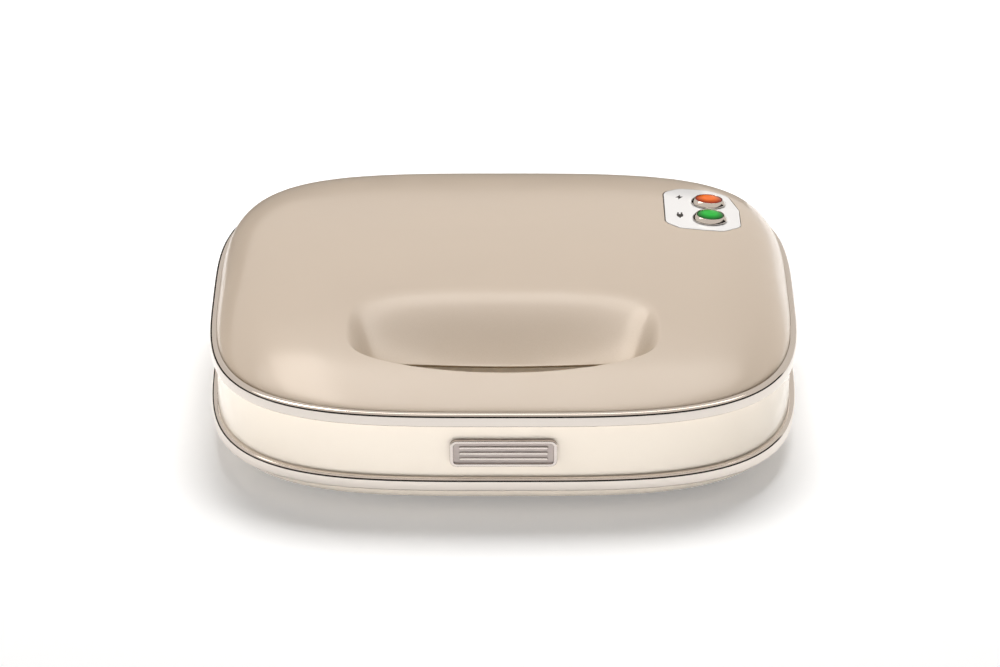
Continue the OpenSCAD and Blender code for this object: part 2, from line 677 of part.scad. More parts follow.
function scoop_loop(v, inset, drop, back = 0) = [for (i = [0:steps - 1])
    let (t = 360 * i / steps, s = scoop_pt(t), p = s + (finger_pt(t, back) - s) * v, lip = lip_height(t))
    let (kx = wall_a / (wall_a - inset), ky = wall_b / (wall_b - inset))
    [p.x, p.y, lip - drop + (dome_z(p.x * kx, p.y * ky) - lip) * roll(v, t)]];
function skirt_loop(inset, z) = [for (i = [0:steps - 1])
    let (p = rim_pt(360 * i / steps, inset)) [p.x, p.y, z]];
module lid_shell() {
    outer_w = [1, 0.99, 0.97, 0.94, 0.9, 0.84, 0.76, 0.62, 0.45, 0.28, 0.12];
    outer_v = [0, 0.07, 0.15, 0.26, 0.4, 0.6, 0.8, 1];
    inner_v = [0.6, 0.25, 0];
    inner_w = [0.3, 0.6, 0.8, 0.9, 0.96, 1];
    skirt_z = lid_z + 0.2;
    ring_loft(concat(
        [skirt_loop(0, skirt_z)],
        [for (w = outer_w) dome_loop(w, 0, 0)],
        [for (v = outer_v) scoop_loop(v, 0, 0)],
        [for (back = [0, lip_land]) scoop_loop(1, skin, lip_edge, back)],
        [for (v = inner_v) scoop_loop(v, skin, skin, lip_land)],
        [for (w = inner_w) dome_loop(w, skin, skin)],
        [skirt_loop(skin, skirt_z)]
    ));
}
module lid_cover() place() color(tan_paint) one_mesh() difference() {
    union() {
        lid_shell();
        at_lid_bosses() lid_boss($x, $y);
    }
    panel_solid(seat, -40, 40);
    at_lid_bosses() translate([0, 0, flange_high_z]) cylinder(r = screw_r + screw_gap, h = 9, $fn = 24);
}
module at_lid_bosses() {
    for (sx = [-1, 1]) {
        for (y = [-post_front - 4, post_rear]) {
            $x = sx * post_x;
            $y = y;
            translate([$x, $y, 0]) children();
        }
    }
}
module lid_boss(x, y) {
    low = flange_high_z + web + seat;
    translate([0, 0, low]) cylinder(r = 3.6, h = dome_z(x, y) - skin / 2 - low, $fn = 24);
}

module lid_band() place() color(chrome) band(lid_z);

// Lid frame: the inner frame that carries the upper plate, with a collar round the opening
module lid_frame() place() color(cream) {
    frame_in = band_proud + skin + 0.2;
    rim_w = 2;
    difference() {
        union() {
            translate([0, 0, flange_high_z]) linear_extrude(web) polygon(outline(frame_in + 1.4));
            translate([0, 0, lid_z + 0.2]) linear_extrude(flange_high_z - lid_z) band2d(frame_in, rim_w);
            finger_collar();
            for (s = [-1, 1]) translate([s * hinge_x - arm_w / 2, arm_front, arm_high + seat])
                cube([arm_w, 12.5, flange_high_z - arm_high]);
        }
        translate([0, 0, -1]) linear_extrude(200) polygon(finger_ring(collar_gap));
        linear_extrude(200) plate_opening2d();
        at_plate_corners() cylinder(r = screw_r + screw_gap, h = 200, $fn = round_fn);
        at_lid_bosses() cylinder(r = screw_r + screw_gap, h = 200, $fn = round_fn);
        for (s = [-1, 1]) for (y = arm_screw_y)
            translate([s * hinge_x, y, 0]) cylinder(r = screw_r + screw_gap, h = flange_high_z + 1, $fn = round_fn);
    }
}
module finger_collar() {
    top = lip_z - lip_edge - seat;
    bow_r = pow(finger_w + lip_land, 2) / (2 * lip_bow);
    difference() {
        translate([0, 0, lid_z + 0.2]) linear_extrude(top + lip_bow + 1 - lid_z)
            polygon(finger_ring(collar_t + collar_gap));
        translate([0, finger_y, top + bow_r]) rotate([90, 0, 0])
            cylinder(r = bow_r, h = 4 * finger_d, center = true, $fn = 720);
    }
}
module lid_screws() place() color(steel)
    at_lid_bosses() translate([0, 0, flange_high_z - seat]) screw(8);

// Lamp panel: a white plug in the lid with its rear right corner following the lid's
panel_in = [[54.1, 88], [47.5, 94.3], [36, 96], [28, 96], [20.1, 88.5],
    [20.1, 68], [24.5, 49], [33, 43.7], [47, 43.7], [54.1, 49.5]];
panel_mid = [wall_a - 37.1, wall_b - 69.8];
panel_r = 7;
panel_rise = 0.25;
lamp_x = wall_a - 34;
lamp_y = [wall_b - 64, wall_b - 83.5];
function panel_pts(grow) = round_poly(
    inset_poly([for (c = panel_in) [wall_a - c.x, wall_b - c.y]], -grow), panel_r + grow, 4);
module panel_solid(grow, low, high, inset = 0) {
    kx = wall_a / (wall_a - inset);
    ky = wall_b / (wall_b - inset);
    loops = [for (h = [low, high]) for (q = (h == low ? [0.3, 0.65, 1] : [1, 0.65, 0.3]))
        [for (p = panel_pts(grow)) let (c = panel_mid + (p - panel_mid) * q) [c.x, c.y, dome_z(c.x * kx, c.y * ky) + h]]];
    loft(loops);
}
module lamp_panel() place() color("white") difference() {
    union() {
        panel_solid(0, -skin - 1.2, panel_rise);
        panel_solid(2.2, -skin - 2, -skin - 0.7, skin);
    }
    for (k = [0, 1]) at_lamp(k) translate([0, 0, -10]) cylinder(r = neck_r + seat, h = 20, $fn = round_fn);
}
module on_panel(x, y) {
    n = dome_normal(x, y);
    turn = atan2(n.y, n.x);
    translate([x, y, dome_z(x, y) + panel_rise]) rotate([0, acos(n.z), turn]) rotate([0, 0, -turn]) children();
}
module at_lamp(k) {
    on_panel(lamp_x, lamp_y[k]) children();
}
neck_r = bezel_dia / 2 - 2;
module bezel() {
    r = bezel_dia / 2;
    proud = 3.4;
    rotate_extrude($fn = round_fn) polygon([
        [neck_r, -5], [neck_r, seat], [r, seat], [r, 0.9], [r - 0.35, 1.9], [r - 0.9, 2.8],
        [r - 1.4, proud], [lens_r + seat, proud], [lens_r + seat, 1.1], [neck_r - 0.8, 1.1], [neck_r - 0.8, -5]
    ]);
}
lens_r = bezel_dia / 2 - 1.8;
module lens() {
    rotate_extrude($fn = round_fn) polygon([
        [0, -4], [neck_r - 0.8 - seat, -4], [neck_r - 0.8 - seat, 1.2], [lens_r, 1.2],
        [lens_r, 2.6], [lens_r * 0.8, 3.1], [lens_r * 0.4, 3.4], [0, 3.5]
    ]);
}
neon_r = 2.4;
module neon() {
    translate([0, 0, -12]) cylinder(r = neon_r, h = 7.8, $fn = round_fn);
}
module power_bezel() place() color(chrome) at_lamp(0) bezel();
module ready_bezel() place() color(chrome) at_lamp(1) bezel();
module power_lens() place() color("#f07a1e") at_lamp(0) lens();
module ready_lens() place() color("#12a83c") at_lamp(1) lens();
module power_lamp() place() color("#e8e0d0") at_lamp(0) neon();
module ready_lamp() place() color("#e8e0d0") at_lamp(1) neon();
module lamp_carrier() place() color(cream) difference() {
    on_panel(lamp_x, (lamp_y[0] + lamp_y[1]) / 2) translate([-8, -18, -10.4]) cube([16, 36, 2.6]);
    for (k = [0, 1]) at_lamp(k) cylinder(r = neon_r + seat, h = 40, center = true, $fn = round_fn);
}

base_housing();
bottom_cover();
base_band();
base_deck();
nameplate();
foot_front_left();
foot_front_right();
foot_rear_left();
foot_rear_right();
lower_plate();
lower_element();
lower_reflector();
lower_plate_screws();
thermostat();
thermostat_strap();
thermal_fuse();
terminal_block();
base_leads();
cord_gland();
base_screws();
bracket_screws();
hinge_bracket_left();
hinge_bracket_right();
hinge_pin_left();
hinge_pin_right();
lid_cover();
lid_band();
lid_frame();
hinge_arm_left();
hinge_arm_right();
upper_plate();
upper_element();
upper_reflector();
upper_plate_screws();
arm_screws();
lid_screws();
lamp_panel();
lamp_carrier();
power_bezel();
ready_bezel();
power_lens();
ready_lens();
power_lamp();
ready_lamp();
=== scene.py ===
# Sandwich toaster, closed, on a white studio table.
# Lengths are in metres. The sections follow the toaster from the table up.
import json
import math

import bmesh
import bpy
import numpy as np
from mathutils import Matrix, Vector


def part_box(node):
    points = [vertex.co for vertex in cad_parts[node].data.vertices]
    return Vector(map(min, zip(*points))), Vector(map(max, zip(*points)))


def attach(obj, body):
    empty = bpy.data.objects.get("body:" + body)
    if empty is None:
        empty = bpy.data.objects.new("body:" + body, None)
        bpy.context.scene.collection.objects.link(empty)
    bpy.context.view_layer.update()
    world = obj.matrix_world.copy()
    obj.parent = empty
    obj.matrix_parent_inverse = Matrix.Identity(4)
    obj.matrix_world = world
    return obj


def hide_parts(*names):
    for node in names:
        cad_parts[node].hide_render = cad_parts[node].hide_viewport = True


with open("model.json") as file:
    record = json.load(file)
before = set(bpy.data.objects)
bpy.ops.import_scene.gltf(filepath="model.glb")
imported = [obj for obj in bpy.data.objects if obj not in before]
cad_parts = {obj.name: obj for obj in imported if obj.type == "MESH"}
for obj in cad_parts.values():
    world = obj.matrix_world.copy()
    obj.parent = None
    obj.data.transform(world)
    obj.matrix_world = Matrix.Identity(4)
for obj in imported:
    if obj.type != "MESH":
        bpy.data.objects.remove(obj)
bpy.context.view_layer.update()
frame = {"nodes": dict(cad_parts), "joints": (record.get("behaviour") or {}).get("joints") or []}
nodes = frame["nodes"]


# Camera
# A long lens looks down on the handle's side, from where the photograph was taken.
view_target = Vector((0, -0.00595, 0.03138))
view_distance = 2.2133
view_elevation = math.radians(26.24)
camera_data = bpy.data.cameras.new("product_camera")
camera_data.lens = 177.5
camera_data.sensor_width = 36
camera_data.shift_x = -0.0035
camera_data.clip_end = 50
camera = bpy.data.objects.new("product_camera", camera_data)
view_back = Vector((0, -math.cos(view_elevation), math.sin(view_elevation)))
camera.location = view_target + view_back * view_distance
camera.rotation_euler = (math.pi / 2 - view_elevation, 0, 0)
bpy.context.scene.collection.objects.link(camera)
bpy.context.scene.camera = camera
bpy.context.scene.view_settings.view_transform = "Standard"


# Table, lamps and cards
# A matt white table, soft lamps behind, at the left and on the table. Dark cards round it,
# a dark sheet behind, a pale ceiling and two white cards show only in polished and glossy surfaces.
def linear(code):
    """Linear colour of an sRGB hex value."""
    parts = np.array([int(code[i:i + 2], 16) / 255 for i in (1, 3, 5)])
    parts = np.where(parts <= 0.04045, parts / 12.92, ((parts + 0.055) / 1.055) ** 2.4)
    return (*parts, 1.0)


def add_node(tree, kind, links=None, **settings):
    """Adds a shader node, sets its properties, and fills its inputs with values or other nodes' outputs."""
    made = tree.nodes.new(kind)
    for key, value in settings.items():
        setattr(made, key, value)
    for key, value in (links or {}).items():
        if isinstance(value, bpy.types.NodeSocket):
            tree.links.new(value, made.inputs[key])
        else:
            made.inputs[key].default_value = value
    return made


def new_finish(name, **sockets):
    """Material with one Principled shader, and its node tree."""
    finish = bpy.data.materials.new(name)
    finish.use_nodes = True
    tree = finish.node_tree
    tree.nodes.clear()
    shader = add_node(tree, "ShaderNodeBsdfPrincipled", {k.replace("_", " "): v for k, v in sockets.items()})
    add_node(tree, "ShaderNodeOutputMaterial", {"Surface": shader.outputs[0]})
    return finish, tree, shader


def seen_directly(tree):
    """1 for rays from the camera and for reflected and refracted ones, 0 for those that gather light."""
    path = add_node(tree, "ShaderNodeLightPath")
    glossy = add_node(tree, "ShaderNodeMath", {0: path.outputs["Is Camera Ray"], 1: path.outputs["Is Glossy Ray"]},
                      operation="MAXIMUM")
    return add_node(tree, "ShaderNodeMath", {0: glossy.outputs[0], 1: path.outputs["Is Transmission Ray"]},
                    operation="MAXIMUM").outputs[0]


world = bpy.data.worlds.new("studio")
bpy.context.scene.world = world
world.use_nodes = True
world.node_tree.nodes.clear()
room_light = add_node(world.node_tree, "ShaderNodeBackground", {"Color": linear("#fffdfb"), "Strength": 0.12})
room_white = add_node(world.node_tree, "ShaderNodeBackground", {"Color": (1, 1, 1, 1), "Strength": 1.0})
room = add_node(world.node_tree, "ShaderNodeMixShader",
                {0: seen_directly(world.node_tree), 1: room_light.outputs[0], 2: room_white.outputs[0]})
add_node(world.node_tree, "ShaderNodeOutputWorld", {"Surface": room.outputs[0]})

table_finish = bpy.data.materials.new("white_table")
table_finish.use_nodes = True
table_tree = table_finish.node_tree
table_tree.nodes.clear()
table_lit = add_node(table_tree, "ShaderNodeBsdfDiffuse", {"Color": (0.94, 0.935, 0.93, 1)})
table_lift = add_node(table_tree, "ShaderNodeMath", {0: seen_directly(table_tree), 1: 0.26}, operation="MULTIPLY")
table_white = add_node(table_tree, "ShaderNodeEmission", {"Color": (1, 1, 1, 1), "Strength": table_lift.outputs[0]})
table_sum = add_node(table_tree, "ShaderNodeAddShader", {0: table_lit.outputs[0], 1: table_white.outputs[0]})
add_node(table_tree, "ShaderNodeOutputMaterial", {"Surface": table_sum.outputs[0]})

table_half = 6.0
table_mesh = bpy.data.meshes.new("table")
table_mesh.from_pydata(
    [(-table_half, -table_half, 0), (table_half, -table_half, 0), (table_half, table_half, 0), (-table_half, table_half, 0)],
    [], [(0, 1, 2, 3)])
table_mesh.materials.append(table_finish)
table = bpy.data.objects.new("table", table_mesh)
bpy.context.scene.collection.objects.link(table)


def soft_lamp(name, place, aim, width, depth, power):
    """Rectangular lamp at a place, turned to an aim; the cards below stand for it in reflections."""
    data = bpy.data.lights.new(name, "AREA")
    data.shape = "RECTANGLE"
    data.size = width
    data.size_y = depth
    data.energy = power
    lamp = bpy.data.objects.new(name, data)
    lamp.location = place
    lamp.rotation_euler = (Vector(aim) - Vector(place)).to_track_quat("-Z", "Y").to_euler()
    lamp.visible_glossy = False
    bpy.context.scene.collection.objects.link(lamp)


soft_lamp("overhead_lamp", (0.1, 0.48, 1.38), (0, 0, 0), 1.0, 0.7, 19.5)
soft_lamp("left_lamp", (-1.4, -0.4, 0.24), (0, 0, 0.03), 0.5, 0.4, 4)
soft_lamp("front_table_lamp", (0, -0.69, 0.002), (0, -0.69, 1), 2.6, 1.1, 13.5)
soft_lamp("left_table_lamp", (-0.6, 0.15, 0.002), (-0.6, 0.15, 1), 0.84, 0.6, 3)
soft_lamp("right_table_lamp", (0.6, 0.15, 0.002), (0.6, 0.15, 1), 0.84, 0.6, 3)


def reflected_card(name, points, faces, finish):
    """Card of the studio that the camera doesn't see and that throws no shadow, only reflections."""
    mesh = bpy.data.meshes.new(name)
    mesh.from_pydata(np.asarray(points).tolist(), [], faces)
    mesh.materials.append(finish)
    card = bpy.data.objects.new(name, mesh)
    bpy.context.scene.collection.objects.link(card)
    card.visible_camera = False
    card.visible_diffuse = False
    card.visible_shadow = False
    card.visible_transmission = False


white_card = new_finish("white_card", Base_Color=(0, 0, 0, 1), Emission_Color=linear("#fff6ec"), Emission_Strength=6.0)[0]
pale_card = new_finish("pale_card", Base_Color=(0, 0, 0, 1), Emission_Color=linear("#fff8f0"), Emission_Strength=3.0)[0]
black_card = new_finish("black_card", Base_Color=linear("#1a1513"), Roughness=0.9)[0]
pale_ceiling = new_finish("pale_ceiling", Base_Color=(0, 0, 0, 1), Emission_Color=linear("#dcd5ce"), Emission_Strength=1.0)[0]
turn = np.linspace(0, 2 * np.pi, 48, endpoint=False)
ring_faces = [(i, (i + 1) % 48, (i + 1) % 48 + 48, i + 48) for i in range(48)]
circle = np.column_stack([np.cos(turn), np.sin(turn)])
reflected_card("card_ring", np.concatenate([
    np.column_stack([circle * 1.7, np.full(48, 0.03)]),
    np.column_stack([circle * 1.7, 1.0 - 0.6 * np.sin(turn)])]), ring_faces[:4] + ring_faces[11:], black_card)
reflected_card("ceiling", np.concatenate([
    np.column_stack([circle * 2.6, np.full(48, 0.1)]),
    np.column_stack([circle * 1.9, np.full(48, 2.0)])]), ring_faces + [tuple(range(48, 96))], pale_ceiling)
reflected_card("rear_sheet", [(-1.5, 0.2, 0.004), (0.12, 0.2, 0.004), (0.5, 1.6, 0.004), (-1.5, 1.6, 0.004)],
               [(0, 1, 2, 3)], black_card)
reflected_card("high_left_card", [(-0.74, 0.2, 1.5), (-0.3, 0.2, 1.5), (-0.3, 0.8, 1.5), (-0.74, 0.8, 1.5)],
               [(0, 1, 2, 3)], white_card)
reflected_card("high_wide_card", [(-1.2, 0.3, 1.52), (0.9, 0.3, 1.52), (0.9, 0.7, 1.52), (-1.2, 0.7, 1.52)],
               [(0, 1, 2, 3)], pale_card)


# Chrome bands
# Two bands of bent steel strip, polished and chromed: one under the lid, one under the wall.
# Each has a flat face, a broad rounded top edge and a fine lower edge.
band_low, band_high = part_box("base_band")
lid_band_low, lid_band_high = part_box("lid_band")
half_w = (band_high.x - band_low.x) / 2
half_d = (band_high.y - band_low.y) / 2
mid_y = (band_high.y + band_low.y) / 2
squareness = 3.55
band_proud = 0.0029
seat = 0.0001
round_count = 384


def turn_angles(count):
    """Angles round an outline, closer together at its corners, so that points on it lie evenly."""
    even = np.linspace(0, 2 * np.pi, count, endpoint=False)
    c, s = np.cos(even), np.sin(even)
    return np.arctan2(np.sign(s) * np.abs(s) ** 1.65, np.sign(c) * np.abs(c) ** 1.65)


def superellipse(angle, half_x, half_y, power):
    """Points of the curve |x / half_x|^power + |y / half_y|^power = 1."""
    c, s = np.cos(angle), np.sin(angle)
    return np.stack([half_x * np.sign(c) * np.abs(c) ** (2 / power), half_y * np.sign(s) * np.abs(s) ** (2 / power)],
                    axis=-1)


def arc(centre_a, centre_b, radius_a, radius_b, start, end, steps):
    """Profile points on a quarter or part of an ellipse, from one angle to another in degrees."""
    turn = np.radians(np.linspace(start, end, steps))
    return np.column_stack([centre_a + radius_a * np.cos(turn), centre_b + radius_b * np.sin(turn)])


def ring_rows(profile, count=round_count):
    """Rows of points: the body's outline, drawn in by each profile point's inset, at its height."""
    profile = np.asarray(profile)
    inset, height = profile[:, :1], profile[:, 1:]
    flat = superellipse(turn_angles(count)[None], half_w - inset, half_d - inset, squareness)
    return np.concatenate([flat + [0, mid_y], np.broadcast_to(height[..., None], flat.shape[:2] + (1,))], axis=-1)


def quads(rows, columns, closed):
    """Quads between neighbouring rows of points, joined round each row."""
    j, i = np.meshgrid(np.arange(rows if closed else rows - 1), np.arange(columns), indexing="ij")
    right = (i + 1) % columns
    above = (j + 1) % rows
    return np.stack([j * columns + i, j * columns + right, above * columns + right, above * columns + i],
                    axis=-1).reshape(-1, 4)


def loft_mesh(name, rows, closed=False):
    """Closed mesh through rows of points, anticlockwise from above; its ends are flat or meet in a ring."""
    m, n = rows.shape[:2]
    faces = quads(m, n, closed).tolist()
    if not closed:
        faces += [list(range(n))[::-1], [(m - 1) * n + i for i in range(n)]]
    mesh = bpy.data.meshes.new(name)
    mesh.from_pydata(rows.reshape(-1, 3).tolist(), [], faces)
    shape = bmesh.new()
    shape.from_mesh(mesh)
    bmesh.ops.remove_doubles(shape, verts=shape.verts, dist=1e-7)
    shape.to_mesh(mesh)
    shape.free()
    return mesh


def add_piece(mesh, body, slot, finish, *stands_for, crease=32):
    """Puts a mesh in the scene as a piece of a body, smooth except where faces meet at more than the crease."""
    mesh.shade_smooth()
    mesh.set_sharp_from_angle(angle=math.radians(crease))
    mesh.materials.clear()
    mesh.materials.append(finish)
    piece = bpy.data.objects.new(mesh.name, mesh)
    bpy.context.scene.collection.objects.link(piece)
    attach(piece, body)
    if stands_for:
        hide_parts(*stands_for)
    return piece


# Decorative chrome over polished steel: a mirror with a trace of haze and of polishing waves.
chrome_finish, tree, shader = new_finish("polished_chrome", Metallic=1.0, Base_Color=linear("#e0d8d0"))
coords = add_node(tree, "ShaderNodeTexCoord")
haze = add_node(tree, "ShaderNodeTexNoise", {"Vector": coords.outputs["Object"], "Scale": 90.0, "Detail": 3.0})
haze_range = add_node(tree, "ShaderNodeMapRange", {0: haze.outputs[0], 1: 0.3, 2: 0.7, 3: 0.045, 4: 0.1})
wave = add_node(tree, "ShaderNodeTexNoise", {"Vector": coords.outputs["Object"], "Scale": 45.0, "Detail": 1.0})
wave_bump = add_node(tree, "ShaderNodeBump", {"Height": wave.outputs[0], "Strength": 0.05, "Distance": 0.0004})
tree.links.new(haze_range.outputs[0], shader.inputs["Roughness"])
tree.links.new(wave_bump.outputs[0], shader.inputs["Normal"])


def band_mesh(name, low, high):
    """Ring with a flat inner side, a fine round lower edge and a broad round upper edge."""
    top_r, low_r = 0.0018, 0.0009
    inner = band_proud - seat
    profile = np.vstack([
        [[inner, low]],
        arc(low_r, low + low_r, low_r, low_r, 270, 180, 8),
        arc(top_r, high - top_r, top_r, top_r, 180, 90, 20),
        [[inner, high]]])
    return loft_mesh(name, ring_rows(profile, 512), closed=True)


for name, low, high, body in (("base_band_strip", band_low.z, band_high.z, "base"),
                              ("lid_band_strip", lid_band_low.z, lid_band_high.z, "lid")):
    add_piece(band_mesh(name, low, high), body, "chrome_trim", chrome_finish, name.replace("_strip", ""))


# Base wall
# One moulded wall of glossy cream ABS between the two bands, with a ledge inside for the deck,
# notches at the rear for the lid's arms and a hole for the cord inlet.
cream_finish, tree, shader = new_finish("cream_abs_moulded", IOR=1.54, Coat_Weight=0.25, Coat_Roughness=0.06)
# Injection-moulded ABS in a polished tool: an even colour with a faint flow tone, and a skin that
# ripples by a few microns every 3 mm, which softens its reflections.
coords = add_node(tree, "ShaderNodeTexCoord")
tone = add_node(tree, "ShaderNodeTexNoise", {"Vector": coords.outputs["Object"], "Scale": 14.0, "Detail": 2.0})
tone_mix = add_node(tree, "ShaderNodeMix",
                    {0: tone.outputs[0], 6: linear("#f6ebdc"), 7: linear("#f4e8d8")}, data_type="RGBA")
gloss = add_node(tree, "ShaderNodeTexNoise", {"Vector": coords.outputs["Object"], "Scale": 120.0, "Detail": 4.0})
gloss_range = add_node(tree, "ShaderNodeMapRange", {0: gloss.outputs[0], 3: 0.22, 4: 0.27})
ripple = add_node(tree, "ShaderNodeTexNoise", {"Vector": coords.outputs["Object"], "Scale": 330.0, "Detail": 1.0})
ripple_bump = add_node(tree, "ShaderNodeBump", {"Height": ripple.outputs[0], "Strength": 0.08, "Distance": 0.0001})
tree.links.new(tone_mix.outputs[2], shader.inputs["Base Color"])
tree.links.new(gloss_range.outputs[0], shader.inputs["Roughness"])
tree.links.new(ripple_bump.outputs[0], shader.inputs["Normal"])

wall_low, wall_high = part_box("base_housing")
wall = 0.0025
wall_in = band_proud + wall
ledge_in = 0.0035
ledge_h = 0.0025
deck_low, deck_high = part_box("base_deck")
deck_top = deck_high.z
deck_web = 0.0021
ledge_top = deck_top - deck_web - seat
hinge_x = 0.048
arm_w = 0.014
arm_gap = 0.0005


def box_mesh(name, low, high):
    """Block between two corners."""
    x, y, z = zip(low, high)
    ring = np.array([[x[0], y[0]], [x[1], y[0]], [x[1], y[1]], [x[0], y[1]]])
    return loft_mesh(name, np.stack([np.column_stack([ring, np.full(4, level)]) for level in z]))


def round_mesh(name, profile, centre=(0, 0, 0), axis=(0, 0, 1), count=96):
    """Solid of revolution: a profile of radius and height points, turned about an axis through a centre."""
    profile = np.asarray(profile, float)
    turn = np.linspace(0, 2 * np.pi, count, endpoint=False)
    ring = np.stack([np.cos(turn), np.sin(turn)], axis=-1)
    flat = profile[:, 0, None, None] * ring[None]
    rows = np.concatenate([flat, np.broadcast_to(profile[:, 1, None, None], flat.shape[:2] + (1,))], axis=-1)
    tilt = np.array(Vector((0, 0, 1)).rotation_difference(Vector(axis)).to_matrix())
    return loft_mesh(name, rows @ tilt.T + np.asarray(centre))


def rod(name, radius, start, end, count=48):
    """Plain round rod from one point to another."""
    start, end = Vector(start), Vector(end)
    return round_mesh(name, [[radius, 0], [radius, (end - start).length]], start, (end - start).normalized(), count)


def carve(mesh, *tools, operation="DIFFERENCE"):
    """Cuts tool meshes out of a mesh, or joins them to it, and returns the finished mesh."""
    body = bpy.data.objects.new(mesh.name, mesh)
    bpy.context.scene.collection.objects.link(body)
    made = []
    for tool in tools:
        other = bpy.data.objects.new("tool", tool)
        bpy.context.scene.collection.objects.link(other)
        made.append(other)
        change = body.modifiers.new("cut", "BOOLEAN")
        change.operation = operation
        change.solver = "MANIFOLD"
        change.object = other
    bpy.context.view_layer.update()
    result = bpy.data.meshes.new_from_object(body.evaluated_get(bpy.context.evaluated_depsgraph_get()))
    result.name = mesh.name
    for thing in [body, *made]:
        bpy.data.objects.remove(thing)
    return result


wall_profile = np.vstack([
    [[band_proud, wall_low.z]],
    arc(band_proud + 0.0005, wall_high.z - 0.0005, 0.0005, 0.0005, 180, 90, 5),
    arc(wall_in - 0.0005, wall_high.z - 0.0005, 0.0005, 0.0005, 90, 0, 5),
    [[wall_in, wall_low.z]]])
ledge_profile = [[wall_in - wall / 2, ledge_top - ledge_h], [wall_in - wall / 2, ledge_top], [wall_in + ledge_in, ledge_top],
                 [wall_in + ledge_in, ledge_top - ledge_h]]
well_x = 0.058
gland_low, gland_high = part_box("cord_gland")
gland_z = (gland_low.z + gland_high.z) / 2
gland_neck = 0.0056
wall_y = half_d - band_proud
notches = [box_mesh("notch", (s * hinge_x - arm_w / 2 - arm_gap, mid_y + half_d - 0.022, deck_top - seat),
                    (s * hinge_x + arm_w / 2 + arm_gap, mid_y + half_d, 0.08)) for s in (-1, 1)]
ledge = carve(loft_mesh("ledge", ring_rows(ledge_profile), closed=True),
              box_mesh("well_gap", (-well_x - 0.003, mid_y - half_d, 0.01), (well_x + 0.003, mid_y, 0.06)))
gland_cut = rod("gland_cut", gland_neck + seat, (0, mid_y + half_d, gland_z), (0, mid_y + half_d - 0.016, gland_z), 96)
shell = carve(loft_mesh("base_wall", ring_rows(wall_profile, 512), closed=True), ledge, operation="UNION")
add_piece(carve(shell, *notches, gland_cut), "base", "cream_shell", cream_finish, "base_housing")


# Bottom cover
# A shallow pan of the same cream ABS that curls under the lower band, with vent slots, four
# holes for the feet's stems and four recesses for the screws.
pan_low, pan_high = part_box("bottom_cover")
curl_in = 0.0265
pan_top = band_low.z - seat
tongue = 0.003
pan_bottom = pan_low.z
pan_floor = pan_bottom + wall
foot_x = half_w - 0.046
foot_y = half_d - 0.059
foot_stem = 0.003
post_x = 0.068
post_front = half_d - 0.043
post_rear = half_d - 0.04
corners = [(sx, sy) for sx in (-1, 1) for sy in (-1, 1)]
post_places = [(sx * post_x, mid_y + (post_rear if sy > 0 else -post_front)) for sx, sy in corners]
foot_places = [(sx * foot_x, mid_y + sy * foot_y) for sx, sy in corners]
plate_mid_y = mid_y + 0.007


def offset_corners(corners, distance):
    """Corners of a convex outline, anticlockwise, with each side moved in by the distance."""
    corners = np.asarray(corners, float)
    side = np.roll(corners, -1, axis=0) - corners
    side /= np.linalg.norm(side, axis=1, keepdims=True)
    start = corners + distance * np.column_stack([-side[:, 1], side[:, 0]])
    last = np.roll(side, 1, axis=0)
    gap = start - np.roll(start, 1, axis=0)
    cross = last[:, 0] * side[:, 1] - last[:, 1] * side[:, 0]
    along = (gap[:, 0] * side[:, 1] - gap[:, 1] * side[:, 0]) / cross
    return np.roll(start, 1, axis=0) + last * along[:, None]


def round_corners(corners, radius, steps=10):
    """Outline with each corner replaced by an arc that touches both sides."""
    corners = np.asarray(corners, float)
    before = np.roll(corners, 1, axis=0) - corners
    after = np.roll(corners, -1, axis=0) - corners
    before /= np.linalg.norm(before, axis=1, keepdims=True)
    after /= np.linalg.norm(after, axis=1, keepdims=True)
    half = np.arccos((before * after).sum(1)) / 2
    middle = before + after
    middle /= np.linalg.norm(middle, axis=1, keepdims=True)
    centre = corners + middle * (radius / np.sin(half))[:, None]
    first = corners + before * (radius / np.tan(half))[:, None] - centre
    start = np.arctan2(first[:, 1], first[:, 0])
    turn = start[:, None] + (np.pi - 2 * half)[:, None] * np.linspace(0, 1, steps)[None]
    return (centre[:, None] + radius * np.stack([np.cos(turn), np.sin(turn)], axis=-1)).reshape(-1, 2)


def box_corners(width, depth, centre=(0, 0)):
    """Corners of a rectangle round a centre."""
    return np.array([[-1, -1], [1, -1], [1, 1], [-1, 1]]) * [width / 2, depth / 2] + np.asarray(centre)


def level_rows(outlines, heights):
    """Rows of points, one outline at each height."""
    return np.stack([np.column_stack([o, np.full(len(o), z)]) for o, z in zip(outlines, heights)])


pan_profile = np.vstack([
    arc(band_proud + curl_in, pan_top, -curl_in, -(pan_top - pan_bottom), 90, 0, 22),
    [[wall_in + seat, pan_top], [wall_in + seat, pan_top + tongue], [wall_in + seat + wall, pan_top + tongue]],
    arc(wall_in + seat + curl_in, pan_top, wall - curl_in, -(pan_top - pan_floor), 0, 90, 14)])
slot_outline = round_corners(box_corners(0.026, 0.003), 0.00145, 5)
slots = [loft_mesh("slot", level_rows([slot_outline + [s * (foot_x - 0.034), plate_mid_y + k * 0.009]] * 2, [-0.01, 0.015]))
         for s in (-1, 1) for k in range(-3, 4)]
stem_holes = [rod("stem_hole", foot_stem + seat, (x, y, -0.01), (x, y, 0.02)) for x, y in foot_places]
recesses = [rod("recess", 0.0032, (x, y, -0.01), (x, y, pan_bottom + 0.002)) for x, y in post_places]
screw_holes = [rod("screw_hole", 0.00156, (x, y, -0.01), (x, y, 0.03)) for x, y in post_places]
bosses = [rod("boss", 0.005, (x, y, pan_bottom + 0.001), (x, y, pan_floor + 0.0015)) for x, y in post_places]
pan = carve(loft_mesh("bottom_pan", ring_rows(pan_profile)), *bosses, operation="UNION")
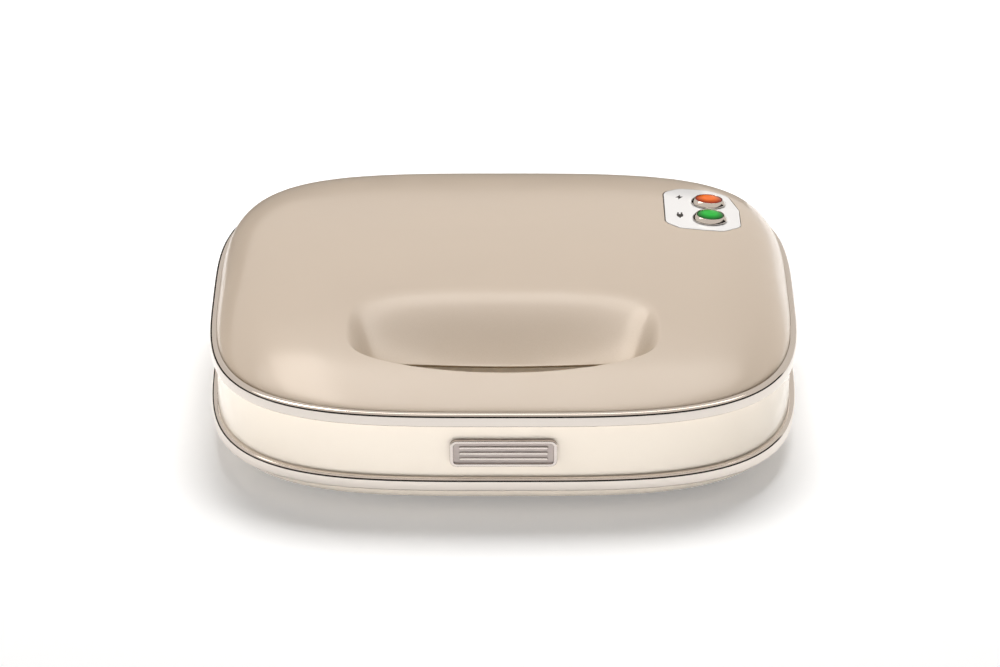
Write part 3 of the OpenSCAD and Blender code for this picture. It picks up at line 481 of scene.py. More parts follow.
add_piece(carve(pan, *slots, *stem_holes, *recesses, *screw_holes), "base", "cream_shell", cream_finish, "bottom_cover")


# Feet
# Four moulded rubber discs, pulled through the pan by their stems. Each has a rounded tread
# with a shallow hollow, so that it grips the table by its rim.
rubber_finish, tree, shader = new_finish("moulded_rubber", IOR=1.52, Base_Color=linear("#242326"))
# Carbon-filled rubber from a spark-eroded mould: a matt grain of about 0.4 mm with a grey bloom.
coords = add_node(tree, "ShaderNodeTexCoord")
grain = add_node(tree, "ShaderNodeTexNoise", {"Vector": coords.outputs["Object"], "Scale": 2500.0, "Detail": 2.0})
bloom = add_node(tree, "ShaderNodeTexNoise", {"Vector": coords.outputs["Object"], "Scale": 160.0, "Detail": 3.0})
bloom_mix = add_node(tree, "ShaderNodeMix", {0: bloom.outputs[0], 6: linear("#1f1e21"), 7: linear("#343236")},
                     data_type="RGBA")
rough = add_node(tree, "ShaderNodeMapRange", {0: bloom.outputs[0], 3: 0.62, 4: 0.85})
grain_bump = add_node(tree, "ShaderNodeBump", {"Height": grain.outputs[0], "Strength": 0.3, "Distance": 0.0001})
tree.links.new(bloom_mix.outputs[2], shader.inputs["Base Color"])
tree.links.new(rough.outputs[0], shader.inputs["Roughness"])
tree.links.new(grain_bump.outputs[0], shader.inputs["Normal"])

foot_r = 0.0075
foot_top = pan_bottom - seat
foot_names = {(-1, -1): "foot_front_left", (1, -1): "foot_front_right", (-1, 1): "foot_rear_left", (1, 1): "foot_rear_right"}
for (sx, sy), place in zip(corners, foot_places):
    profile = np.vstack([
        [[0, 0.0008], [0.0042, 0.0008]],
        arc(0.0052, 0, 0.0006, 0.0006, 120, 60, 4),
        arc(foot_r - 0.0009, 0.0009, 0.0009, 0.0009, 270, 360, 8),
        arc(foot_r - 0.0005, foot_top - 0.0003, 0.0003, 0.0003, 0, 90, 4),
        [[foot_stem, foot_top], [foot_stem, pan_floor + 0.0015]],
        arc(0, pan_floor + 0.0015, foot_stem, 0.0005, 20, 90, 5)])
    profile[:, 1] = np.maximum(profile[:, 1], 0)
    add_piece(round_mesh(foot_names[sx, sy] + "_tread", profile, (*place, 0), count=72),
              "base", "foot_rubber", rubber_finish, foot_names[sx, sy])


# Nameplate
# A pressed nickel plate on the front wall, bare of any name: a polished rim round a satin field
# with three plain raised bars.
nickel_finish, tree, shader = new_finish("satin_nickel_plate", Metallic=1.0)
# Nickel over brass, brushed along its length: fine scratches about 0.15 mm apart, drawn as 0.4 mm
# so that they show, with the tops of the relief polished brighter.
coords = add_node(tree, "ShaderNodeTexCoord")
stretch = add_node(tree, "ShaderNodeMapping", {"Vector": coords.outputs["Object"], "Scale": (0.04, 1.0, 1.0)})
brush = add_node(tree, "ShaderNodeTexNoise", {"Vector": stretch.outputs[0], "Scale": 2500.0, "Detail": 3.0})
brush_colour = add_node(tree, "ShaderNodeMix", {0: brush.outputs[0], 6: linear("#b3a8a4"), 7: linear("#c8bdb8")},
                        data_type="RGBA")
badge_low, badge_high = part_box("nameplate")
badge_field = 0.001
depth = add_node(tree, "ShaderNodeSeparateXYZ", {0: coords.outputs["Object"]})
relief = add_node(tree, "ShaderNodeMapRange", {0: depth.outputs["Y"], 1: badge_high.y - badge_field - 0.0001,
                                               2: badge_high.y - badge_field - 0.0004})
relief_colour = add_node(tree, "ShaderNodeMix",
                         {0: relief.outputs[0], 6: brush_colour.outputs[2], 7: linear("#ded5cf")}, data_type="RGBA")
brush_rough = add_node(tree, "ShaderNodeMapRange", {0: relief.outputs[0], 3: 0.38, 4: 0.2})
brush_bump = add_node(tree, "ShaderNodeBump", {"Height": brush.outputs[0], "Strength": 0.12, "Distance": 0.00005})
tree.links.new(relief_colour.outputs[2], shader.inputs["Base Color"])
tree.links.new(brush_rough.outputs[0], shader.inputs["Roughness"])
tree.links.new(brush_bump.outputs[0], shader.inputs["Normal"])

badge_w = badge_high.x - badge_low.x
badge_h = badge_high.z - badge_low.z
badge_deep = badge_high.y - badge_low.y
badge_z = (badge_low.z + badge_high.z) / 2


def facing_front(rows, centre_z, back_y):
    """Turns rows drawn flat, with height as depth, to face the front from a back plane."""
    return np.stack([rows[..., 0], back_y - rows[..., 2], rows[..., 1] + centre_z], axis=-1)


def pressed_rows(width, height, radius, profile, steps=8):
    """Rows of a rounded rectangle drawn in by each profile point's inset, at its height."""
    return level_rows([round_corners(offset_corners(box_corners(width, height), inset), max(radius - inset, 0.0003), steps)
                       for inset, _ in profile], [level for _, level in profile])


badge_profile = np.vstack([
    [[0, 0]],
    arc(0.0004, badge_deep - 0.0004, 0.0004, 0.0004, 180, 90, 5),
    arc(0.0012, badge_deep - 0.0003, 0.0003, 0.0003, 90, 0, 4),
    [[0.0015, badge_field + 0.0003]],
    arc(0.0018, badge_field + 0.0003, 0.0003, 0.0003, 180, 270, 4)])
add_piece(loft_mesh("badge_plate", facing_front(pressed_rows(badge_w, badge_h, 0.003, badge_profile), badge_z, badge_high.y)),
          "base", "satin_plate", nickel_finish, "nameplate")
bar_profile = np.vstack([[[0, 0]], arc(0.0003, 0.0002, 0.0003, 0.00035, 180, 90, 6)])
bar_rows = facing_front(pressed_rows(badge_w - 0.008, 0.0013, 0.0006, bar_profile), badge_z, badge_high.y - badge_field)
for k, label in enumerate(("low", "middle", "high")):
    add_piece(loft_mesh("badge_bar_" + label, bar_rows + [0, 0, (k - 1) * 0.0026]), "base", "satin_plate", nickel_finish)


# Deck
# A moulded inner frame of heat-proof cream PBT inside the wall. It carries the lower plate and
# dips into a well under the handle, where the fingers go.
frame_finish, tree, shader = new_finish("cream_pbt_matt", IOR=1.55)
# Glass-filled PBT from a spark-eroded tool: an even matt grain of about 0.5 mm, a little warmer
# than the outer wall.
coords = add_node(tree, "ShaderNodeTexCoord")
grain = add_node(tree, "ShaderNodeTexNoise", {"Vector": coords.outputs["Object"], "Scale": 2000.0, "Detail": 2.0})
tone = add_node(tree, "ShaderNodeTexNoise", {"Vector": coords.outputs["Object"], "Scale": 25.0, "Detail": 3.0})
tone_mix = add_node(tree, "ShaderNodeMix", {0: tone.outputs[0], 6: linear("#f0e4d3"), 7: linear("#f6ecde")},
                    data_type="RGBA")
rough = add_node(tree, "ShaderNodeMapRange", {0: tone.outputs[0], 3: 0.42, 4: 0.56})
grain_bump = add_node(tree, "ShaderNodeBump", {"Height": grain.outputs[0], "Strength": 0.25, "Distance": 0.00005})
tree.links.new(tone_mix.outputs[2], shader.inputs["Base Color"])
tree.links.new(rough.outputs[0], shader.inputs["Roughness"])
tree.links.new(grain_bump.outputs[0], shader.inputs["Normal"])


def eased_copy(node, edge):
    """Mesh of a CAD node with its flat faces whole again and its sharp edges rounded off by the edge's radius."""
    shape = bmesh.new()
    shape.from_mesh(nodes[node].data)
    bmesh.ops.remove_doubles(shape, verts=shape.verts, dist=2e-6)
    bmesh.ops.dissolve_limit(shape, angle_limit=math.radians(0.5), verts=shape.verts, edges=shape.edges)
    sharp = [e for e in shape.edges if len(e.link_faces) == 2 and e.calc_face_angle(0) > math.radians(35)]
    bmesh.ops.bevel(shape, geom=sharp, offset=edge, segments=2, profile=0.5, affect="EDGES", clamp_overlap=True)
    mesh = bpy.data.meshes.new(node + "_eased")
    shape.to_mesh(mesh)
    shape.free()
    return mesh


add_piece(eased_copy("base_deck", 0.0003), "base", "cream_frame", frame_finish, "base_deck")


# Cooking plates
# Two die-cast aluminium plates, face to face, each with two triangular pockets for every slice.
# The pockets' walls curve down from a rounded sealing ridge. Both are sprayed with non-stick coating.
coating_finish, tree, shader = new_finish("nonstick_coated_casting", IOR=1.42, Coat_Weight=0.3, Coat_Roughness=0.25)
# Sintered PTFE over a grit-blasted casting: charcoal with an orange-peel skin of about 0.8 mm and
# sparse pale mineral flecks of 0.4 mm.
coords = add_node(tree, "ShaderNodeTexCoord")
cells = add_node(tree, "ShaderNodeTexVoronoi", {"Vector": coords.outputs["Object"], "Scale": 900.0})
fleck = add_node(tree, "ShaderNodeMath", {0: cells.outputs["Distance"], 1: 0.16}, operation="LESS_THAN")
pick = add_node(tree, "ShaderNodeSeparateColor", {0: cells.outputs["Color"]})
few = add_node(tree, "ShaderNodeMath", {0: pick.outputs[0], 1: 0.82}, operation="GREATER_THAN")
shown = add_node(tree, "ShaderNodeMath", {0: fleck.outputs[0], 1: few.outputs[0]}, operation="MULTIPLY")
patch = add_node(tree, "ShaderNodeTexNoise", {"Vector": coords.outputs["Object"], "Scale": 45.0, "Detail": 4.0})
ground = add_node(tree, "ShaderNodeMix", {0: patch.outputs[0], 6: linear("#272628"), 7: linear("#333133")},
                  data_type="RGBA")
coat_colour = add_node(tree, "ShaderNodeMix", {0: shown.outputs[0], 6: ground.outputs[2], 7: linear("#8b8784")},
                       data_type="RGBA")
peel = add_node(tree, "ShaderNodeTexNoise", {"Vector": coords.outputs["Object"], "Scale": 1250.0, "Detail": 2.0})
peel_bump = add_node(tree, "ShaderNodeBump", {"Height": peel.outputs[0], "Strength": 0.35, "Distance": 0.00006})
rough = add_node(tree, "ShaderNodeMapRange", {0: patch.outputs[0], 3: 0.36, 4: 0.52})
tree.links.new(coat_colour.outputs[2], shader.inputs["Base Color"])
tree.links.new(rough.outputs[0], shader.inputs["Roughness"])
tree.links.new(peel_bump.outputs[0], shader.inputs["Normal"])

lower_low, lower_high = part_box("lower_plate")
upper_low, upper_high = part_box("upper_plate")
plate_w = lower_high.x - lower_low.x
plate_d = lower_high.y - lower_low.y
flange = 0.0026
pocket_rim = 0.007
slice_web = 0.01
ridge = 0.004
pocket_deep = 0.008
pocket_wall = 0.0022
pocket_draft = 0.009
pocket_r = 0.011
ridge_r = 0.0009
centre_boss_y = 0.024
element_d = 0.0064


def slice_triangle(side, turned):
    """Corners of one pocket's mouth, anticlockwise: a slice's half, on the left or right, front or turned to the rear."""
    x0, x1, y1 = slice_web / 2, plate_w / 2 - pocket_rim, plate_d / 2 - pocket_rim
    diagonal = math.hypot(x1 - x0, 2 * y1)
    dx, dy = ridge * diagonal / (4 * y1), ridge * diagonal / (2 * (x1 - x0))
    if turned:
        points = np.array([[x1, y1], [x0 + dx, y1], [x1, dy - y1]])
    else:
        points = np.array([[x0, -y1], [x1 - dx, -y1], [x0, y1 - dy]])
    return points if side > 0 else (points * [-1, 1])[::-1]


def pocket_mesh(triangle, grow, deep, top_profile):
    """Triangular bowl: its outline draws in along a quarter of an ellipse as it goes down, and its top follows a profile."""
    turn = np.radians(np.linspace(90, 7, 14))
    profile = np.column_stack([pocket_draft * (1 - np.cos(turn)) - grow, -deep * np.sin(turn)])
    profile = np.vstack([profile, top_profile])
    outlines = [round_corners(offset_corners(triangle, inset), max(pocket_r - inset, 0.002), 12) for inset, _ in profile]
    return loft_mesh("pocket", level_rows(outlines, profile[:, 1]))


mouth = np.vstack([arc(-ridge_r, -ridge_r, ridge_r, ridge_r, 0, 90, 6), [[-ridge_r, 0.002]]])
slab_profile = np.vstack([[[0, -flange]], arc(0.0006, -0.0006, 0.0006, 0.0006, 180, 90, 6)])
triangles = [slice_triangle(side, turned) for side in (-1, 1) for turned in (False, True)]
bulge_deep = pocket_deep + pocket_wall
slab = loft_mesh("grill_plate", pressed_rows(plate_w, plate_d, 0.01, slab_profile, 16))
slab = carve(slab, *[pocket_mesh(t, pocket_wall, bulge_deep, [[-pocket_wall, -flange / 2]]) for t in triangles],
             *[rod("boss", 0.0035, (0, s * centre_boss_y, -bulge_deep - element_d - 0.0002), (0, s * centre_boss_y, -0.001))
               for s in (-1, 1)],
             rod("boss", 0.008, (0, 0, -bulge_deep), (0, 0, -0.001)), operation="UNION")
slab = carve(slab, *[pocket_mesh(t, 0, pocket_deep, mouth) for t in triangles])
lower_casting = slab.copy()
lower_casting.name = "lower_casting"
lower_casting.transform(Matrix.Translation((0, plate_mid_y, lower_high.z)))
add_piece(lower_casting, "base", "coated_plate", coating_finish, "lower_plate", crease=40)
slab.name = "upper_casting"
slab.transform(Matrix.Translation((0, plate_mid_y, upper_low.z)) @ Matrix.Diagonal((1, 1, -1, 1)))
slab.flip_normals()
add_piece(slab, "lid", "coated_plate", coating_finish, "upper_plate", crease=40)


# Heating parts
# Under each plate lies a tubular element in a tray of aluminised sheet. The lower set has a
# ceramic-cased thermostat on a strap, a thermal fuse and leads in glass-fibre sleeves.
def dress(finish, *names):
    """Gives CAD nodes, which keep their own shape, a finish."""
    for name in names:
        nodes[name].data.materials.clear()
        nodes[name].data.materials.append(finish)


# Swaged Incoloy sheath, oxidised by its first firing: brown-grey with straw and blue patches.
sheath_finish, tree, shader = new_finish("fired_element_sheath", Metallic=1.0)
coords = add_node(tree, "ShaderNodeTexCoord")
heat = add_node(tree, "ShaderNodeTexNoise", {"Vector": coords.outputs["Object"], "Scale": 60.0, "Detail": 5.0})
heat_ramp = add_node(tree, "ShaderNodeValToRGB", {0: heat.outputs[0]})
heat_ramp.color_ramp.elements[0].color = linear("#5d5a66")
heat_ramp.color_ramp.elements[1].color = linear("#8a7a62")
heat_ramp.color_ramp.elements[0].position = 0.35
heat_ramp.color_ramp.elements[1].position = 0.65
rough = add_node(tree, "ShaderNodeMapRange", {0: heat.outputs[0], 3: 0.35, 4: 0.55})
tree.links.new(heat_ramp.outputs[0], shader.inputs["Base Color"])
tree.links.new(rough.outputs[0], shader.inputs["Roughness"])
dress(sheath_finish, "lower_element", "upper_element")

# Hot-dip aluminised steel sheet: dull silver with a spangle of about 5 mm.
sheet_finish, tree, shader = new_finish("aluminised_sheet", Metallic=1.0)
coords = add_node(tree, "ShaderNodeTexCoord")
spangle = add_node(tree, "ShaderNodeTexVoronoi", {"Vector": coords.outputs["Object"], "Scale": 200.0})
spangle_grey = add_node(tree, "ShaderNodeSeparateColor", {0: spangle.outputs["Color"]})
spangle_mix = add_node(tree, "ShaderNodeMix", {0: spangle_grey.outputs[0], 6: linear("#b4b5b6"), 7: linear("#cfd0d0")},
                       data_type="RGBA")
rough = add_node(tree, "ShaderNodeMapRange", {0: spangle_grey.outputs[0], 3: 0.3, 4: 0.48})
tree.links.new(spangle_mix.outputs[2], shader.inputs["Base Color"])
tree.links.new(rough.outputs[0], shader.inputs["Roughness"])
dress(sheet_finish, "lower_reflector", "upper_reflector")

# Unglazed steatite, pressed and fired: off-white and chalky, with small brown firing specks.
ceramic_finish, tree, shader = new_finish("steatite_ceramic", IOR=1.6, Roughness=0.7)
coords = add_node(tree, "ShaderNodeTexCoord")
speck = add_node(tree, "ShaderNodeTexNoise", {"Vector": coords.outputs["Object"], "Scale": 900.0, "Detail": 2.0})
speck_range = add_node(tree, "ShaderNodeMapRange", {0: speck.outputs[0], 1: 0.62, 2: 0.7})
speck_mix = add_node(tree, "ShaderNodeMix", {0: speck_range.outputs[0], 6: linear("#efebe0"), 7: linear("#c9b79a")},
                     data_type="RGBA")
tree.links.new(speck_mix.outputs[2], shader.inputs["Base Color"])
dress(ceramic_finish, "thermostat", "thermal_fuse", "terminal_block")

# Braided glass-fibre sleeve, lacquered: cream yarns that cross about every 0.6 mm.
sleeve_finish, tree, shader = new_finish("glass_fibre_sleeve", Roughness=0.65)
coords = add_node(tree, "ShaderNodeTexCoord")
braid = add_node(tree, "ShaderNodeTexChecker", {"Vector": coords.outputs["Object"], "Scale": 1600.0,
                                                "Color1": linear("#d8cfbd"), "Color2": linear("#b9ae98")})
braid_bump = add_node(tree, "ShaderNodeBump", {"Height": braid.outputs[1], "Strength": 0.4, "Distance": 0.0001})
tree.links.new(braid.outputs["Color"], shader.inputs["Base Color"])
tree.links.new(braid_bump.outputs[0], shader.inputs["Normal"])
dress(sleeve_finish, "base_leads")

# Zinc-plated steel, clear passivated: pale grey with a faint blue and straw bloom and handling scratches.
zinc_finish, tree, shader = new_finish("zinc_plated_steel", Metallic=1.0)
coords = add_node(tree, "ShaderNodeTexCoord")
bloom = add_node(tree, "ShaderNodeTexNoise", {"Vector": coords.outputs["Object"], "Scale": 180.0, "Detail": 3.0})
bloom_mix = add_node(tree, "ShaderNodeMix", {0: bloom.outputs[0], 6: linear("#aeb3bb"), 7: linear("#c6c3b6")},
                     data_type="RGBA")
scratch = add_node(tree, "ShaderNodeMapping", {"Vector": coords.outputs["Object"], "Scale": (1.0, 0.06, 1.0)})
scratch_noise = add_node(tree, "ShaderNodeTexNoise", {"Vector": scratch.outputs[0], "Scale": 2200.0, "Detail": 2.0})
rough = add_node(tree, "ShaderNodeMapRange", {0: scratch_noise.outputs[0], 1: 0.3, 2: 0.7, 3: 0.24, 4: 0.4})
scratch_bump = add_node(tree, "ShaderNodeBump", {"Height": scratch_noise.outputs[0], "Strength": 0.1, "Distance": 0.00003})
tree.links.new(bloom_mix.outputs[2], shader.inputs["Base Color"])
tree.links.new(rough.outputs[0], shader.inputs["Roughness"])
tree.links.new(scratch_bump.outputs[0], shader.inputs["Normal"])
dress(zinc_finish, "thermostat_strap", "lower_plate_screws", "upper_plate_screws", "bracket_screws", "lid_screws")


# Cord inlet
# A rubber bush pressed into the rear wall, with a round flange outside and a collar inside.
gland_r = (gland_high.x - gland_low.x) / 2
bore_r = 0.0036
gland_back = gland_high.y
gland_profile = np.vstack([
    [[bore_r, gland_low.y - gland_back], [0.0072, gland_low.y - gland_back], [0.0072, gland_low.y - gland_back + 0.0018],
     [gland_neck, gland_low.y - gland_back + 0.002], [gland_neck, -0.003], [gland_r - 0.0004, -0.003]],
    arc(gland_r - 0.0008, -0.0008, 0.0008, 0.0008, 0, 90, 6),
    [[0.0056, 0], [0.005, -0.0004], [0.0046, 0]],
    arc(bore_r + 0.0005, -0.0005, 0.0005, 0.0005, 90, 180, 5)])
gland_turn = np.linspace(0, 2 * np.pi, 96, endpoint=False)
gland_rows = np.stack([np.column_stack([r * np.cos(gland_turn), np.full(96, gland_back + y), gland_z - r * np.sin(gland_turn)])
                       for r, y in gland_profile])
add_piece(loft_mesh("cord_bush", gland_rows, closed=True), "base", "foot_rubber", rubber_finish, "cord_gland")


# Hinges
# On each side a cream bracket with two ears is screwed to the rear wall, and a zinc-plated
# steel arm of the lid turns between them on a steel pin.
hinge = frame["joints"][0]["pos_m"]
pin_r = 0.002
for side in ("left", "right"):
    add_piece(eased_copy("hinge_bracket_" + side, 0.0005), "base", "cream_shell", cream_finish, "hinge_bracket_" + side)
    add_piece(eased_copy("hinge_arm_" + side, 0.0004), "lid", "steel_fixings", zinc_finish, "hinge_arm_" + side)
    pin_low, pin_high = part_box("hinge_pin_" + side)
    half = (pin_high.x - pin_low.x) / 2
    pin_profile = np.vstack([
        arc(0, -half + 0.0006, pin_r, 0.0006, -90, 0, 6),
        arc(0, half - 0.0006, pin_r, 0.0006, 0, 90, 6)])
    pin_middle = ((pin_low.x + pin_high.x) / 2, hinge[1], hinge[2])
    add_piece(round_mesh("pin_" + side, pin_profile, pin_middle, (1, 0, 0), 64), "base", "steel_fixings", zinc_finish,
              "hinge_pin_" + side)


# Cross-head screws
# Zinc-plated pan-head screws: four hold the bottom cover, and two hold each arm to the lid's frame.
def cross_screw(place, head_r, head_h, length):
    """Screw with its head down: a domed head with a cross recess, and a plain shank above."""
    profile = np.vstack([
        arc(0, head_h * 0.55, head_r, head_h * 0.55, -90, 0, 8),
        [[head_r, head_h * 0.55], [head_r - 0.0001, head_h], [0.0015, head_h], [0.0015, head_h + length - 0.0006],
         [0.0009, head_h + length], [0, head_h + length]]])
    shape = round_mesh("screw", profile, place, count=40)
    x, y, z = place
    arms = [box_mesh("slot", (x - a, y - b, z - 0.001), (x + a, y + b, z + head_h * 0.6))
            for a, b in ((head_r * 0.52, 0.0004), (0.0004, head_r * 0.52))]
    return carve(shape, *arms)


def joined(name, meshes):
    """One mesh of several."""
    shape = bmesh.new()
    for mesh in meshes:
        shape.from_mesh(mesh)
    mesh = bpy.data.meshes.new(name)
    shape.to_mesh(mesh)
    shape.free()
    return mesh


base_screw_low, base_screw_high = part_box("base_screws")
arm_screw_low, arm_screw_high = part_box("arm_screws")
arm_screw_y = (arm_screw_low.y + 0.0029, arm_screw_high.y - 0.0029)
add_piece(joined("cover_screws", [cross_screw((x, y, base_screw_low.z), 0.0029, 0.0018, 0.014) for x, y in post_places]),
          "base", "steel_fixings", zinc_finish, "base_screws")
add_piece(joined("arm_fixings", [cross_screw((s * hinge_x, y, arm_screw_low.z), 0.0029, 0.0009, 0.0045)
                                 for s in (-1, 1) for y in arm_screw_y]),
          "lid", "steel_fixings", zinc_finish, "arm_screws")


# Lid cover
# One tan moulding, painted and lacquered: a crowned dome with a rounded shoulder, tight at the
# rear and softer in front, which rolls down into a scoop with an opening for the fingers.
tan_finish, tree, shader = new_finish("tan_lacquered_cover", IOR=1.5, Coat_Weight=0.7, Coat_Roughness=0.16)
# Two-coat paint on heat-proof plastic: a solid warm beige under clear lacquer, with an orange-peel
# of about 2.5 mm that is only just seen in the reflections. A darker tan, mixed in where other
# faces close in, isn't the paint: it only brings the scoop to the shade that the photograph shows.
coords = add_node(tree, "ShaderNodeTexCoord")
tone = add_node(tree, "ShaderNodeTexNoise", {"Vector": coords.outputs["Object"], "Scale": 9.0, "Detail": 2.0})
tone_mix = add_node(tree, "ShaderNodeMix", {0: tone.outputs[0], 6: linear("#cfbdaa"), 7: linear("#d3c1ad")},
                    data_type="RGBA")
# Painted shade: ambient occlusion mixes a darker tan into the colour where faces close in, most of all in the scoop.
closed_in = add_node(tree, "ShaderNodeAmbientOcclusion", {"Distance": 0.045}, samples=8)
painted_shade_amount = add_node(tree, "ShaderNodeMapRange", {0: closed_in.outputs["AO"], 1: 0.6, 2: 0.98, 3: 1.0, 4: 0.0})
painted_shade_mix = add_node(tree, "ShaderNodeMix", {0: painted_shade_amount.outputs[0], 6: tone_mix.outputs[2], 7: linear("#a18a6a")},
                    data_type="RGBA")
flow = add_node(tree, "ShaderNodeTexNoise", {"Vector": coords.outputs["Object"], "Scale": 60.0, "Detail": 3.0})
rough = add_node(tree, "ShaderNodeMapRange", {0: flow.outputs[0], 1: 0.3, 2: 0.7, 3: 0.34, 4: 0.44})
peel = add_node(tree, "ShaderNodeTexNoise", {"Vector": coords.outputs["Object"], "Scale": 400.0, "Detail": 1.0})
peel_bump = add_node(tree, "ShaderNodeBump", {"Height": peel.outputs[0], "Strength": 0.06, "Distance": 0.0001})
tree.links.new(painted_shade_mix.outputs[2], shader.inputs["Base Color"])
tree.links.new(rough.outputs[0], shader.inputs["Roughness"])
tree.links.new(peel_bump.outputs[0], shader.inputs["Normal"])
tree.links.new(peel_bump.outputs[0], shader.inputs["Coat Normal"])

seam_z = lid_band_high.z
skirt_z = lid_band_low.z + 0.0002
skin = 0.0022
dome_h = 0.0225
crown_tilt, crown_bow, crown_side = 0.1613 * dome_h, -0.6444 * dome_h, -0.001
rear_shoulder, front_shoulder, shoulder_q = 13.9, 7.9, 1.43
scoop_w, scoop_rear, scoop_front = 0.0685, 0.033, 0.0295
finger_w, finger_d, finger_power = 0.056, 0.008, 3
wall_a = half_w - band_proud
wall_b = half_d - band_proud
scoop_y = 0.05 - wall_b
finger_y = 0.034 - wall_b
lip_z = seam_z + 0.0008
lip_bow = 0.003
lip_edge = 0.0009
rear_roll, side_roll, front_roll = 0.42, 0.35, 0.7


def ease(u):
    """Smooth step from 0 to 1."""
    c = np.clip(u, 0, 1)
    return c * c * (3 - 2 * c)


def dome_height(x, y):
    """Height of the lid: a crown that leans and bows along y and x, times the shoulder (1 - r^p)^(1/q),
    where r is how far out on the superellipse a point lies, and p changes from the rear to the front."""
    xn, yn = x / wall_a, y / wall_b
    r = np.minimum(1, (np.abs(xn) ** squareness + np.abs(yn) ** squareness) ** (1 / squareness))
    p = rear_shoulder + (front_shoulder - rear_shoulder) * ease(0.5 - 0.5 * yn)
    crown = dome_h + crown_tilt * yn + crown_bow * yn ** 2 + crown_side * xn ** 2
    return seam_z + crown * (1 - r ** p) ** (1 / shoulder_q)


def dome_normal(x, y):
    """Direction square to the dome at a point."""
    h = 0.0005
    slope_x = (dome_height(x + h, y) - dome_height(x - h, y)) / (2 * h)
    slope_y = (dome_height(x, y + h) - dome_height(x, y - h)) / (2 * h)
    return Vector((-slope_x, -slope_y, 1)).normalized()


cover_turn = turn_angles(480)
scoop_power = 3 + np.sin(cover_turn)
scoop_cos, scoop_sin = np.cos(cover_turn), np.sin(cover_turn)
scoop_rim = np.column_stack([
    scoop_w * np.sign(scoop_cos) * np.abs(scoop_cos) ** (2 / scoop_power),
    scoop_y + np.where(scoop_sin > 0, scoop_rear, scoop_front) * np.sign(scoop_sin) * np.abs(scoop_sin) ** (2 / scoop_power)])
scoop_roll = rear_roll + (front_roll - rear_roll) * ease(-scoop_sin)
scoop_roll = scoop_roll + (side_roll - scoop_roll) * np.abs(scoop_cos) ** 3
lip_line = lip_z + lip_bow * np.abs(scoop_cos) ** (4 / finger_power)


def finger_line(grow):
    """Plan of the finger opening, grown by an amount."""
    return superellipse(cover_turn, finger_w + grow, finger_d + grow, finger_power) + [0, finger_y]


def dome_row(w, inset, drop):
    """Points a share w of the way from the scoop's rim to the wall, on the dome or under its skin."""
    wall_line = superellipse(cover_turn, wall_a - inset, wall_b - inset, squareness)
    flat = scoop_rim + (wall_line - scoop_rim) * w
    x, y = flat[:, 0] * wall_a / (wall_a - inset), flat[:, 1] * wall_b / (wall_b - inset)
    return np.column_stack([flat, dome_height(x, y) - drop])


def scoop_row(v, inset, drop, back=0.0):
    """Points a share v of the way from the scoop's rim to the finger opening, rolled down from the dome to the lip."""
    flat = scoop_rim + (finger_line(back) - scoop_rim) * v
    x, y = flat[:, 0] * wall_a / (wall_a - inset), flat[:, 1] * wall_b / (wall_b - inset)
    k = scoop_roll
    roll = 1 - (np.sqrt(v * v + k * k) - k) / (np.sqrt(1 + k * k) - k)
    return np.column_stack([flat, lip_line - drop + (dome_height(x, y) - lip_line) * roll])


def skirt_row(inset, z):
    """Points on the skirt, inside the band."""
    return np.column_stack([superellipse(cover_turn, wall_a - inset, wall_b - inset, squareness), np.full(480, z)])


lip_r = lip_edge / 2
lip_land = 0.0022
rows = [skirt_row(0, skirt_z), skirt_row(0, (skirt_z + seam_z) / 2)]
rows += [dome_row(1 - s ** 2.2, 0, 0) for s in np.linspace(0, 1, 72)]
rows += [scoop_row(s ** 1.4, 0, 0, lip_r) for s in np.linspace(0, 1, 56)[1:]]
rows += [np.column_stack([finger_line(lip_r * (1 - math.sin(a))), lip_line - lip_r * (1 - math.cos(a))])
         for a in np.linspace(0, math.pi, 9)[1:]]
rows += [np.column_stack([finger_line(lip_land), lip_line - lip_edge])]
rows += [scoop_row(s, skin, skin, lip_land) for s in np.linspace(0.6, 0, 12)]
rows += [dome_row(s, skin, skin) for s in np.linspace(0, 1, 28)[1:] ** 0.5]
rows += [skirt_row(skin, skirt_z)]
cover = loft_mesh("lid_shell", np.stack(rows) + [0, mid_y, 0], closed=True)


# Lamp panel
# A glossy white moulding set flush in the lid's rear right corner, with two printed marks,
# a bolt for power and a plug for ready, and a fine shadow gap round it.
panel_corner = 0.007
panel_rise = 0.00025
panel_corners = [wall_a, wall_b] - np.array([[54.1, 88], [47.5, 94.3], [36, 96], [28, 96], [20.1, 88.5],
                                             [20.1, 68], [24.5, 49], [33, 43.7], [47, 43.7], [54.1, 49.5]]) / 1000


def panel_outline(grow):
    """The panel's outline, grown or drawn in."""
    return round_corners(offset_corners(panel_corners, -grow), max(panel_corner + grow, 0.001), 14)


def on_dome(outline, rise):
    """Outline laid on the dome at a height above it."""
    return np.column_stack([outline, dome_height(outline[:, 0], outline[:, 1]) + rise])


white_finish, tree, shader = new_finish("white_panel_abs", IOR=1.54, Coat_Weight=0.5, Coat_Roughness=0.04)
# High-gloss white ABS: a clean, slightly cool white with a faint ripple.
coords = add_node(tree, "ShaderNodeTexCoord")
tone = add_node(tree, "ShaderNodeTexNoise", {"Vector": coords.outputs["Object"], "Scale": 30.0, "Detail": 2.0})
tone_mix = add_node(tree, "ShaderNodeMix", {0: tone.outputs[0], 6: linear("#f9f6f4"), 7: linear("#fdfbf9")},
                    data_type="RGBA")
rough = add_node(tree, "ShaderNodeMapRange", {0: tone.outputs[0], 3: 0.14, 4: 0.2})
tree.links.new(tone_mix.outputs[2], shader.inputs["Base Color"])
tree.links.new(rough.outputs[0], shader.inputs["Roughness"])

